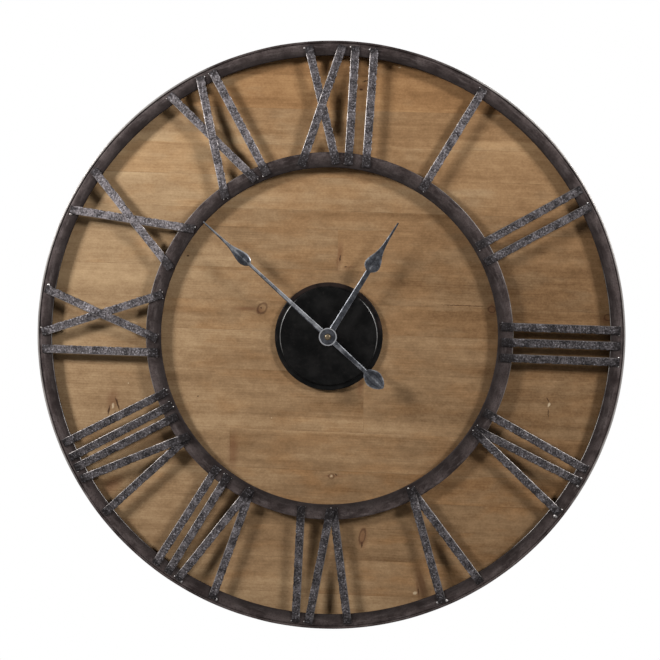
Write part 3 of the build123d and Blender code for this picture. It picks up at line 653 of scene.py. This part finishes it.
def tack(x, z, radius, luck, worn):
    """Uneven bead of weld on the ring at a strip's end, with the same values as a stroke."""
    points = [on_dial(x, z, RING_FRONT + radius * TACK_TOP)]
    faces = []
    for ring, (out, depth) in enumerate(TACK_PROFILE):
        for step, (up, right) in enumerate(circle(TACK_LUMPS, TACK_SIDES)):
            lump = 1 + TACK_UNEVEN * noise.noise(Vector((up, right, luck)))
            reach = radius * out * lump / TACK_LUMPS
            points.append(on_dial(x + reach * right, z + reach * up, RING_FRONT + radius * depth))
            after = (step + 1) % TACK_SIDES
            start = 1 + ring * TACK_SIDES
            inner = start - TACK_SIDES
            if ring:
                faces.append((start + step, start + after, inner + after, inner + step))
            else:
                faces.append((0, start + step, start + after))
    unmarked = [0.0] * len(points)
    return points, faces, [worn] * len(points), unmarked, unmarked, unmarked


def joined(parts):
    """Points, faces and values of several parts as one mesh."""
    points = []
    faces = []
    values = [[] for _ in parts[0][2:]]
    for new_points, new_faces, *new_values in parts:
        offset = len(points)
        points += new_points
        faces += [tuple(offset + corner for corner in face) for face in new_faces]
        for kept, new in zip(values, new_values):
            kept += new
    return points, faces, *values


def hammered_iron():
    material, place = new_finish("hammered_iron")
    wear, soot, tone = held(place, "wear"), held(place, "soot"), held(place, "tone")
    strip_at = place.node("CombineXYZ", (), {"X": held(place, "along"), "Y": held(place, "across")})
    blow = cloud(strip_at, 2.1, 4.0, 0.75, (1, 0.7, 1))
    patch = cloud(strip_at, 13.0, 3.0, 0.6, (1, 0.6, 1), 5.0)
    fleck = cloud(place, 2.3, 3.0, 0.7, shift=2.0)
    lit = tone * (0.58 + rise(patch, 0.30, 0.70) * 0.66)
    pale = mixed(lit, (0, 0, 0), (1.0, 0.89, 0.92))
    deep = mixed(lit * 0.30, (0, 0, 0), (1.0, 0.89, 0.92))
    skin = mixed(rise(blow + (patch - 0.5) * 0.3, 0.40, 0.58), deep, pale)
    blacked = rise(soot + (blow - 0.5) * 0.9 + (patch - 0.5) * 0.7, 0.30, 0.90)
    (z,) = axes(place, "Z")
    skin = mixed(blacked * (0.76 + rise(0.0 - z, -150.0, 150.0) * 0.14), skin, (0.010, 0.008, 0.008))
    flecked = rise(fleck + (blow - 0.5) * 0.6, 0.55, 0.70) * rise(lit, 0.0, 0.14) * 0.75
    skin = mixed(flecked * (1 - blacked * 0.5), skin, (0.42, 0.40, 0.43))
    rub_and_highlight = rise(wear + (patch - 0.5) * 0.35 + (fleck - 0.5) * 0.25 - soot * 0.5, 0.48, 0.78)
    worn = mixed(rise(tone, 0.06, 0.17), (0.120, 0.109, 0.104), (0.310, 0.280, 0.268))
    skin = mixed(rub_and_highlight * 0.90, skin, worn)
    weld = rise(wear, 1.2, 1.6)
    skin = mixed(weld, skin, (0.52, 0.50, 0.49))
    dull = 0.42 + (blow - 0.5) * 0.3 - rub_and_highlight * 0.06
    bump = raised(place, blow + fleck * 0.4, 0.25)
    bright = rub_and_highlight.math("MAXIMUM", rub_and_highlight * 0.95, (1 - blacked) * 0.5)
    finished(place, skin, dull, bump, Metallic=bright, Specular_IOR_Level=0.06)
    return material


hammered = hammered_iron()
for hour, numeral in enumerate(STRIP_TONES, start=1):
    parts = []
    for number, (base, direction, heights) in enumerate(stroke_lines("numeral_" + numeral)):
        luck = hour * 7.3 + number * 2.9
        parts.append(stroke(base, direction, heights, luck, STRAIGHT_EDGE.get(numeral, -1)))
        side = Vector((direction.y, -direction.x))
        ends = (heights[0][0] + TACK_INSET, heights[-1][0] - TACK_INSET)
        for along, (least, most), row, missing in zip(ends, TACK_RADII, TACK_ROWS, TACK_MISSING):
            for across in row:
                if noise.noise(Vector((along, across, luck))) < missing:
                    continue
                beyond = TACK_BEYOND if abs(across) < STRIP_HALF else 0.0
                spot = base + direction * (along - beyond) + side * across
                size = noise.cell(Vector((along, across * 3, luck)))
                brightness = noise.cell(Vector((across * 3, luck, along)))
                radius = least + (most - least) * size * size
                worn = TACK_WEARS[0] + (TACK_WEARS[1] - TACK_WEARS[0]) * brightness
                if spot.length > RING_SPLIT and spot.y < TACK_DIM_BELOW:
                    worn = TACK_WEARS[0]
                parts.append(tack(spot.x, spot.y, radius, luck + along + across, worn))
    strip_points, strip_faces, *strip_values = joined(parts)
    values = dict(zip(("wear", "soot", "along", "across"), strip_values))
    values["tone"] = [STRIP_TONES[numeral]] * len(strip_points)
    strips = piece("strips_" + numeral, "frame", hammered, strip_points, strip_faces, **values)
    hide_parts("numeral_" + numeral)

# Centre cap. A shallow cap pressed from steel sheet, with a raised face inside a lower flange, sprayed
# satin black. Studs on its inside pass through the panel, and it carries the movement by the bush. Thin
# bright arcs on the shoulder, left and right, are painted highlight.
CAP_BEND = 1.55
CAP_THICK = 1.2
CAP_STEPS = 160


def bend(radius, depth, bend_radius, start, end, rub_and_highlight=0.0, steps=6):
    """Bend of a section about a centre, between two angles, brightest midway. On the cap's shoulder that
    brightness is painted highlight.
    """
    section = []
    for step in range(steps + 1):
        turn = math.radians(start + (end - start) * step / steps)
        worn = rub_and_highlight * math.sin(math.pi * step / steps)
        spot = (radius + bend_radius * math.cos(turn), depth + bend_radius * math.sin(turn))
        section.append((*spot, worn))
    return section


# The cap's section: radius, depth and how bright. The bright values on the shoulder's bends are painted
# highlight.
CAP_SECTION = [
    (70.3, 17.5, 0.0),
    *bend(68.75, 21.75, CAP_BEND, 0, 90, 0.15),
    *bend(65.15, 24.85, CAP_BEND, 270, 180, 0.2),
    *bend(62.05, 24.95, CAP_BEND, 0, 90, 0.75),
    (55.0, 26.5, 0.0),
    (30.0, 26.5, 0.0),
    (4.0, 26.5, 0.0),
    (4.0, 25.3, 0.0),
    *bend(62.05, 24.95, CAP_BEND - CAP_THICK, 90, 0),
    (62.4, 22.1, 0.0),
    (68.75, 22.1, 0.0),
    (69.1, 21.75, 0.0),
    (69.1, 17.5, 0.0),
]


def black_enamel():
    material, place = new_finish("black_enamel")
    wear = held(place, "wear")
    x, z = axes(place, "XZ")
    out = x.math("SQRT", x * x + z * z)
    haze = cloud(place, 22.0, 4.0, 0.6)
    scuff = cloud(place, 5.0, 5.0, 0.7, shift=6.0)
    speck = cloud(place, 1.2, 2.0, 0.5, shift=3.0)
    skin = mixed(rise(haze, 0.35, 0.70), (0.0020, 0.0020, 0.0020), (0.0085, 0.0080, 0.0078))
    # Painted reflection: towards the top the flange is tinted brown, as if the wood showed in it.
    flange = rise(out, 64.5, 66.0)
    skin = mixed(flange * rise(haze + z / 300.0, 0.45, 0.75), skin, (0.020, 0.013, 0.011))
    skin = mixed(rise(scuff, 0.52, 0.76) * 0.6, skin, (0.016, 0.014, 0.0135))
    # Painted highlight: the bright metal on the shoulder is kept to the left and right sides, where the
    # lamps glint.
    painted_highlight_sides = rise((abs(x) + z * 0.25) / out, 0.72, 0.98)
    rub_and_highlight = rise(wear * (0.55 + painted_highlight_sides * 0.6) + (scuff - 0.5) * 0.5, 0.45, 0.95)
    skin = mixed(rub_and_highlight * (0.30 + painted_highlight_sides * 0.6), skin, (0.310, 0.305, 0.300))
    dull = 0.38 + (haze - 0.5) * 0.35 + rise(speck, 0.6, 0.8) * 0.15
    bump = raised(place, scuff * 0.6 + speck * 0.4, 0.06)
    finished(place, skin, dull, bump, Metallic=rub_and_highlight * 0.8, Specular_IOR_Level=0.05)
    return material


cap_points, cap_faces, cap_wears = turned(CAP_SECTION, CAP_STEPS)
cap = piece("cap_pressing", "frame", black_enamel(), cap_points, cap_faces, wear=cap_wears)
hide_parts("centre_cap")

# Back hardware. Zinc-plated keyhole hanger, iron tabs welded to the hoop, felt wall bumpers, and wood
# screws with a cross recess. The nuts and washers on the cap's studs sit in wells in the panel's back.
SCREW_HEAD = 3.6
SCREW_SHANK = 1.75
SCREW_LONG = 13.0
SCREW_SIDES = 40
SCREW_FACE = 0.02
SCREW_RINGS = (0.0, 0.3, 0.6, 0.9, 1.2, 1.5, 1.8, 2.1, 2.5, 3.0, 3.45)
SCREW_NECK = ((SCREW_HEAD, 0.12), (SCREW_SHANK, 1.5), (SCREW_SHANK * 0.8, 1.9))
THREAD_START = 2.0
THREAD_PITCH = 1.0
THREAD_ROOT = SCREW_SHANK * 0.72
RECESS_WIDE = 0.42
RECESS_REACH = 2.0
RECESS_DEEP = 1.0
RECESS_SLOPE = 0.6
TABS = 6
TAB_FIRST = 30.0
TAB_SCREW_CIRCLE = 355.0
HANGER_SCREWS = ((-22.0, 300.0), (22.0, 300.0))


def plated(name, colour, roughness, patch):
    """Plated or bare metal with soft patches, scratches and pits."""
    material, place = new_finish(name)
    bloom = cloud(place, patch, 3.0, 0.6)
    scratch = cloud(place, 0.5, 3.0, 0.6, (0.08, 1, 1), 4.0)
    pit = cloud(place, 0.9, 2.0, 0.5, shift=8.0)
    dark = tuple(part * 0.62 for part in colour)
    skin = mixed(rise(bloom, 0.30, 0.70), dark, colour)
    skin = mixed(rise(pit, 0.66, 0.78) * 0.4, skin, tuple(part * 0.35 for part in colour))
    dull = roughness + (bloom - 0.5) * 0.25 + (scratch - 0.5) * 0.15
    finished(place, skin, dull, raised(place, scratch + pit * 0.5, 0.03), Metallic=0.85)
    return material


def wood_screw(x, z):
    """Points and faces of a countersunk screw with a cross recess, its head to the wall."""
    profile = [(radius, None) for radius in SCREW_RINGS]
    profile += SCREW_NECK
    for turn in range(int((SCREW_LONG - THREAD_START) / THREAD_PITCH) - 1):
        root = THREAD_START + THREAD_PITCH * turn
        profile += [(THREAD_ROOT, root), (SCREW_SHANK, root + THREAD_PITCH / 2)]
    profile.append((0.0, SCREW_LONG))
    points = []
    for radius, depth in profile:
        for u, v in circle(radius, SCREW_SIDES):
            level = depth
            if depth is None:
                arm = min(abs(u), abs(v))
                inside = arm < RECESS_WIDE and radius < RECESS_REACH
                recess = RECESS_DEEP * (1 - radius / RECESS_REACH * RECESS_SLOPE)
                level = recess if inside else SCREW_FACE
            points.append(on_dial(x + u, z + v, level))
    return points, tube_faces(SCREW_SIDES, len(profile))


def felt():
    material, place = new_finish("felt")
    fuzz = cloud(place, 0.9, 4.0, 0.7)
    matted = cloud(place, 4.0, 3.0, 0.6, shift=5.0)
    shown = rise(fuzz + (matted - 0.5) * 0.5, 0.3, 0.75)
    skin = mixed(shown, (0.035, 0.035, 0.036), (0.105, 0.103, 0.10))
    bump = raised(place, fuzz, 0.35)
    finished(place, skin, 0.9, bump, Sheen_Weight=0.4, Specular_IOR_Level=0.2)
    return material


zinc = plated("zinc", (0.24, 0.24, 0.23), 0.48, 6.0)
for name, node, places in (
    ("tab_wood_screws", "tab_screws", circle(TAB_SCREW_CIRCLE, TABS, TAB_FIRST)),
    ("hanger_wood_screws", "hanger_screws", HANGER_SCREWS),
):
    screw_points, screw_faces = joined([wood_screw(x, z) for x, z in places])
    screws = piece(name, "frame", zinc, screw_points, screw_faces, sharp=35.0)
    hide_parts(node)
dress(zinc, "hanger_plate", "cap_studs", "cap_washers", "cap_nuts")
dress(iron, "hoop_tabs")
dress(felt(), "wall_bumpers")

# Movement. A black moulded case with its cover and setting knob holds the step motor, wheel train,
# circuit board and one battery. The bush, washers and hexagon nut clamp it to the cap.


def moulded(name, colour, roughness):
    """Moulded plastic with a spark-eroded texture."""
    material, place = new_finish(name)
    erosion = cloud(place, 0.35, 2.0, 0.6)
    flow = cloud(place, 9.0, 3.0, 0.5, shift=3.0)
    dark = tuple(part * 0.8 for part in colour)
    pale = tuple(part * 1.15 for part in colour)
    skin = mixed(rise(flow, 0.3, 0.7), dark, pale)
    dull = roughness + (erosion - 0.5) * 0.3 + (flow - 0.5) * 0.12
    finished(place, skin, dull, raised(place, erosion, 0.05), Specular_IOR_Level=0.4)
    return material


def copper_winding():
    material, place = new_finish("copper_winding")
    (x,) = axes(place, "X")
    turn = x.math("SINE", x * 42.0) * 0.5 + 0.5
    stray = cloud(place, 1.6, 2.0)
    skin = mixed(turn * 0.6 + stray * 0.4, (0.30, 0.095, 0.035), (0.62, 0.24, 0.09))
    finished(place, skin, 0.3 + stray * 0.15, raised(place, turn, 0.06), Metallic=0.8)
    return material


def solder_resist():
    material, place = new_finish("solder_resist")
    x, z = axes(place, "XZ")
    lane = x.math("FRACT", (x + z.math("FLOOR", z / 3.1) * 1.3) * 0.55)
    track = rise(lane, 0.18, 0.26) * (1 - rise(lane, 0.62, 0.70))
    stray = cloud(place, 3.0, 2.0)
    skin = mixed(track * 0.7 + stray * 0.2, (0.010, 0.075, 0.028), (0.050, 0.200, 0.085))
    finished(place, skin, 0.32 + stray * 0.15, raised(place, track, 0.05))
    return material


black_moulding = moulded("black_moulding", (0.020, 0.020, 0.021), 0.48)
white_moulding = moulded("white_moulding", (0.80, 0.79, 0.75), 0.42)
brass = plated("brass", (0.72, 0.50, 0.20), 0.28, 5.0)
bright_steel = plated("bright_steel", (0.55, 0.55, 0.56), 0.26, 4.0)
nickel = plated("nickel", (0.72, 0.71, 0.67), 0.20, 3.0)
dress(black_moulding, "movement_case", "movement_cover", "setting_knob")
dress(white_moulding, "hour_wheel", "centre_wheel", "motion_wheel", "third_wheel", "first_wheel")
dress(white_moulding, "rotor_pinion", "coil_bobbin")
dress(brass, "threaded_bush", "brass_washer", "bush_nut")
dress(bright_steel, "minute_arbor", "stator")
dress(nickel, "quartz_crystal", "contact_plus", "contact_minus")
dress(moulded("black_rubber", (0.026, 0.026, 0.027), 0.75), "rubber_washer")
dress(moulded("sintered_magnet", (0.10, 0.10, 0.105), 0.45), "rotor_magnet")
dress(moulded("chip_epoxy", (0.012, 0.012, 0.012), 0.30), "clock_chip")
dress(copper_winding(), "coil_winding")
dress(solder_resist(), "circuit_board")

# Battery. One AA cell in a printed sleeve, black with a copper-coloured band and a fine pale ring between
# them. The sleeve is shrunk over both rims, and the cap at one end carries the raised nub.
BATTERY_AXIS = (-19.4, 15.5)
BATTERY_SIDES = 64
BATTERY_BAND = 10.5
BATTERY_SECTION = (
    (-24.2, 0.0),
    (-24.2, 4.6),
    (-23.95, 5.0),
    (-24.2, 5.5),
    (-24.15, 6.5),
    (-23.7, 7.0),
    (-23.0, 7.1),
    (BATTERY_BAND - 0.8, 7.1),
    (BATTERY_BAND + 0.8, 7.1),
    (24.1, 7.1),
    (24.8, 7.0),
    (25.25, 6.5),
    (25.3, 5.6),
    (25.0, 5.1),
    (25.05, 3.0),
    (25.2, 2.75),
    (26.1, 2.65),
    (26.3, 2.4),
    (26.3, 0.0),
)


def battery_sleeve():
    material, place = new_finish("battery_sleeve")
    x, y, z = axes(place)
    scuff = cloud(place, 3.0, 4.0, 0.65)
    up = z - BATTERY_AXIS[0]
    deep = y + BATTERY_AXIS[1]
    out = up.math("SQRT", up * up + deep * deep)
    skin = mixed(x > BATTERY_BAND, (0.014, 0.014, 0.015), (0.46, 0.20, 0.075))
    ring = 1 - rise(abs(x - BATTERY_BAND), 0.35, 0.45)
    skin = mixed(ring, skin, (0.70, 0.69, 0.66))
    steel_end = 1 - rise(out, 5.3, 5.5)
    skin = mixed(steel_end, skin, (0.62, 0.61, 0.58))
    skin = mixed(rise(scuff, 0.66, 0.76) * 0.3, skin, (0.30, 0.29, 0.28))
    foil = rise(x, BATTERY_BAND, BATTERY_BAND + 0.1) * 0.6
    dull = 0.28 + (scuff - 0.5) * 0.2
    metal = foil.math("MAXIMUM", foil, steel_end * 0.9)
    finished(place, skin, dull, raised(place, scuff, 0.03), Metallic=metal)
    return material


battery_points = []
for x, radius in BATTERY_SECTION:
    for up, deep in circle(radius, BATTERY_SIDES):
        battery_points.append(on_dial(x, BATTERY_AXIS[0] + up, BATTERY_AXIS[1] + deep))
battery_faces = tube_faces(BATTERY_SIDES, len(BATTERY_SECTION))
cell = piece("battery_cell", "frame", battery_sleeve(), battery_points, battery_faces, sharp=30.0)
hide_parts("battery")

# Hands. Spade hands cut from sheet, with filed edges and a raised line along each leaf, dulled to pewter
# grey. The minute hand has a round dished hub and a counterweight leaf, and the hour hand presses on the
# pipe of the hour wheel behind it.
HAND_THICK = 1.2
HAND_BEVEL = 0.85
LEAF_BEVEL = 0.07
LEAF_LINE = 0.55
LEAF_FROM = 3.4
LEAF_FULL = 8.0
HOUR_BACK = 41.0
HOUR_TURN = math.radians(31.7)
HOUR_STEM = ((4.0, 0.0), (3.2, 98.5))
HOUR_SPADE = (
    (3.2, 98.5), (8.6, 103.0), (10.2, 108.5), (8.6, 116.0), (4.9, 125.0), (2.6, 136.0), (1.7, 150.0),
)
HOUR_TIP = ((1.7, 150.0), (1.0, 170.9), (0.3, 171.4))
HOUR_RIB = 0.3
HOUR_RUBS = (0.75, 0.1, 0.65, -0.2)
MINUTE_BACK = 44.5
MINUTE_TURN = math.radians(312.7)
MINUTE_STEM = ((3.3, 0.0), (1.9, 136.5))
MINUTE_SPADE = (
    (1.9, 136.5), (5.6, 140.5), (7.7, 147.0), (6.9, 154.0), (4.6, 163.0), (2.5, 172.0), (1.6, 184.0),
)
MINUTE_TIP = ((1.6, 184.0), (0.9, 217.8), (0.3, 218.3))
MINUTE_RIB = 0.3
MINUTE_RUBS = (0.45, 0.68, 1.0, -0.4)
TAIL_STEM = ((3.4, 0.0), (2.6, 65.0))
TAIL_LEAF = ((2.6, 65.0), (7.2, 69.5), (11.0, 78.0), (9.6, 86.5), (5.2, 93.5), (0.4, 97.0))
TAIL_RIB = 0.6
TAIL_RUBS = (0.75, 0.5, 0.75, -0.5)
HUB_STEPS = 64
HUB_SECTION = (
    (1.6, 44.5, 0.0),
    (11.3, 44.5, 0.2),
    (11.6, 44.8, 0.6),
    (11.6, 46.3, 0.9),
    (11.35, 46.6, 1.0),
    (10.9, 46.7, 1.0),
    (10.1, 46.7, 0.9),
    (9.8, 46.5, 0.6),
    (9.6, 46.1, 0.0),
    (8.0, 46.1, 0.0),
    (5.0, 46.1, 0.0),
    (1.6, 46.1, 0.0),
)
HOUR_HUB_SECTION = (
    (2.4, 37.5, 0.0),
    (3.8, 37.5, 0.0),
    (3.8, 41.0, 0.0),
    (8.8, 41.0, 0.0),
    (9.0, 41.2, 0.5),
    (9.0, 41.9, 0.8),
    (8.7, 42.2, 0.8),
    (2.4, 42.2, 0.0),
)


def smooth_line(stops, steps):
    """Points of a smooth line through the stops."""
    stops = [Vector(stop) for stop in stops]
    ends = [stops[0], *stops, stops[-1]]
    line = [stops[0]]
    for before, start, end, after in zip(ends, ends[1:], ends[2:], ends[3:]):
        leaving = start + (end - before) / 6
        arriving = end - (after - start) / 6
        line += interpolate_bezier(start, leaving, arriving, end, steps)[1:]
    return line


def straight_line(stops, steps):
    """Even points between the first two stops."""
    start, end = (Vector(stop) for stop in stops[:2])
    return [start.lerp(end, step / steps) for step in range(steps + 1)]


def blade(outline, back, turn, rib, rub_and_highlight_levels):
    """Points, faces and wears of a hand's arm: its outline is (half width, distance from the arbor).

    The levels give how bright its anticlockwise bevel, stem, clockwise bevel and leaf are worn.
    """
    behind, stem, beyond, leaf = rub_and_highlight_levels
    ahead = Vector((math.sin(turn), math.cos(turn)))
    side = Vector((math.cos(turn), -math.sin(turn)))
    points = []
    wears = []
    for half, distance in outline:
        leafy = eased(half, LEAF_FROM, LEAF_FULL)
        cut = min(HAND_BEVEL + half * LEAF_BEVEL * leafy, half * 0.5)
        face = stem + (leaf - stem) * leafy
        line = stem + (LEAF_LINE - stem) * leafy
        ridge = rib * leafy
        front = HAND_THICK - ridge * 0.2
        section = (
            (-half, 0.0, 0.2),
            (-half, front - HAND_BEVEL * 0.7, 0.9 * behind),
            (-half + cut, front, 0.7 * behind),
            (-half * 0.5, front + ridge * 0.45, face),
            (-half * 0.08, front + ridge, line),
            (half * 0.08, front + ridge, line),
            (half * 0.5, front + ridge * 0.45, face),
            (half - cut, front, 0.7 * beyond),
            (half, front - HAND_BEVEL * 0.7, 0.9 * beyond),
            (half, 0.0, 0.2),
        )
        for across, up, rub_and_highlight in section:
            spot = ahead * distance + side * across
            points.append(on_dial(spot.x, spot.y, back + up))
            wears.append(rub_and_highlight)
    return points, capped_faces(len(section), len(outline)), wears


def pewter():
    material, place = new_finish("pewter")
    wear = held(place, "wear")
    mottle = cloud(place, 7.0, 4.0, 0.6)
    grain = cloud(place, 1.4, 3.0, 0.6, shift=6.0)
    shown = rise(mottle + (grain - 0.5) * 0.5, 0.32, 0.70)
    skin = mixed(shown, (0.024, 0.025, 0.029), (0.062, 0.065, 0.074))
    skin = mixed(rise(0.0 - wear, 0.05, 0.5) * 0.65, skin, (0.012, 0.012, 0.015))
    rub_and_highlight = rise(wear + (mottle - 0.5) * 0.6 + (grain - 0.5) * 0.3, 0.42, 0.92)
    skin = mixed(rub_and_highlight * 0.85, skin, (0.300, 0.303, 0.318))
    dull = 0.36 + (mottle - 0.5) * 0.3 - rub_and_highlight * 0.06
    bump = raised(place, grain + mottle * 0.5, 0.05)
    finished(place, skin, dull, bump, Metallic=0.9, Specular_IOR_Level=0.2)
    return material


hand_pewter = pewter()
hour_arm = straight_line(HOUR_STEM, 10) + smooth_line(HOUR_SPADE, 6)[1:]
hour_arm += [*straight_line(HOUR_TIP, 4)[1:], Vector(HOUR_TIP[2])]
minute_arm = straight_line(MINUTE_STEM, 12) + smooth_line(MINUTE_SPADE, 6)[1:]
minute_arm += [*straight_line(MINUTE_TIP, 5)[1:], Vector(MINUTE_TIP[2])]
tail_arm = straight_line(TAIL_STEM, 8) + smooth_line(TAIL_LEAF, 6)[1:]
for name, node, body, parts in (
    ("hour_spade", "hour_hand", "hour_train", (
        blade(hour_arm, HOUR_BACK, HOUR_TURN, HOUR_RIB, HOUR_RUBS),
        turned(HOUR_HUB_SECTION, HUB_STEPS),
    )),
    ("minute_spade", "minute_hand", "minute_train", (
        blade(minute_arm, MINUTE_BACK, MINUTE_TURN, MINUTE_RIB, MINUTE_RUBS),
        blade(tail_arm, MINUTE_BACK, MINUTE_TURN + math.pi, TAIL_RIB, TAIL_RUBS),
        turned(HUB_SECTION, HUB_STEPS),
    )),
):
    hand_points, hand_faces, hand_wears = joined(parts)
    hand = piece(name, body, hand_pewter, hand_points, hand_faces, sharp=30.0, wear=hand_wears)
    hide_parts(node)

# Hand nut. A small turned brass nut with a domed front, darkened with age. It is screwed onto the end
# of the arbor and clamps the hub of the minute hand.
NUT_STEPS = 48
NUT_SECTION = (
    (1.4, 46.1, 0.0),
    (4.0, 46.1, 0.0),
    (4.2, 46.3, 0.0),
    *bend(1.6, 48.4, 2.6, 0, 90, steps=8),
    (0.0, 51.0, 0.0),
    (0.0, 49.6, 0.0),
    (1.4, 49.6, 0.0),
)
nut_points, nut_faces = turned(NUT_SECTION, NUT_STEPS)[:2]
dark_brass = plated("dark_brass", (0.150, 0.115, 0.072), 0.30, 3.0)
nut = piece("dome_nut", "minute_train", dark_brass, nut_points, nut_faces, sharp=30.0)
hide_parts("hand_nut")

# Studio. Two soft lamps stand before the clock, left and right of it, and a third lights its back. The
# clock hangs above a pale floor with white all round, and the lens looks from a little right and above.
LAMPS = (
    ("left_lamp", (-1.62, -1.15, 0.86), 0.43, 45.0),
    ("right_lamp", (1.90, -1.45, 1.09), 0.53, 52.0),
    ("back_lamp", (0.60, 2.20, 0.90), 1.20, 46.0),
)
LAMP_AIM = 20.0
ROOM_LIGHT = 0.02
FLOOR_LEVEL = -1.75
FLOOR_SPAN = ((-1.6, 1.6), (-1.8, 1.2))
LENS_AIM = Vector((0.00164, -0.020, -0.2918))
LENS_TURN = math.radians(2.57)
LENS_RISE = math.radians(1.49)
LENS_DISTANCE = 1.6
LENS_LENGTH = 67.03

scene = bpy.context.scene
scene.view_settings.view_transform = "Standard"
dial_middle = on_dial(0, 0, LAMP_AIM)
for name, place, size, power in LAMPS:
    lamp = bpy.data.lights.new(name, "AREA")
    lamp.size = size
    lamp.energy = power
    holder = bpy.data.objects.new(name, lamp)
    holder.location = Vector((place[0], place[1], arbor[2] + place[2]))
    holder.rotation_euler = (dial_middle - holder.location).to_track_quat("-Z", "Y").to_euler()
    holder.visible_camera = False
    scene.collection.objects.link(holder)

floor_material, floor_place = new_finish("floor_paper")
tooth = cloud(floor_place, 2.5, 3.0)
paper = mixed(tooth, (0.80, 0.80, 0.79), (0.84, 0.84, 0.83))
finished(floor_place, paper, 0.8, raised(floor_place, tooth, 0.1))
floor_corners = [(x, y, FLOOR_LEVEL) for x in FLOOR_SPAN[0] for y in FLOOR_SPAN[1]]
floor_mesh = bpy.data.meshes.new("floor")
floor_mesh.from_pydata(floor_corners, [], [(0, 2, 3, 1)])
floor_mesh.materials.append(floor_material)
floor = bpy.data.objects.new("floor", floor_mesh)
scene.collection.objects.link(floor)

world = bpy.data.worlds.new("white_room")
world.use_nodes = True
world.node_tree.nodes.clear()
room = Shade(world.node_tree)
rays = ("Is Camera Ray", "Is Glossy Ray", "Is Transmission Ray")
seen, mirrored, through = room.node("LightPath", output=rays)
white = seen.math("MAXIMUM", seen.math("MAXIMUM", seen, mirrored), through)
strength = ROOM_LIGHT + white * (1 - ROOM_LIGHT)
backdrop = room.node("Background", (), {"Color": (1, 1, 1), "Strength": strength})
room.node("OutputWorld", (), {"Surface": backdrop})
scene.world = world

lens = bpy.data.cameras.new("lens")
lens.lens = LENS_LENGTH
camera = bpy.data.objects.new("camera", lens)
flat = math.cos(LENS_RISE)
away = Vector((math.sin(LENS_TURN) * flat, -math.cos(LENS_TURN) * flat, math.sin(LENS_RISE)))
camera.location = LENS_AIM + away * LENS_DISTANCE
camera.rotation_euler = away.to_track_quat("Z", "Y").to_euler()
scene.collection.objects.link(camera)
scene.camera = camera
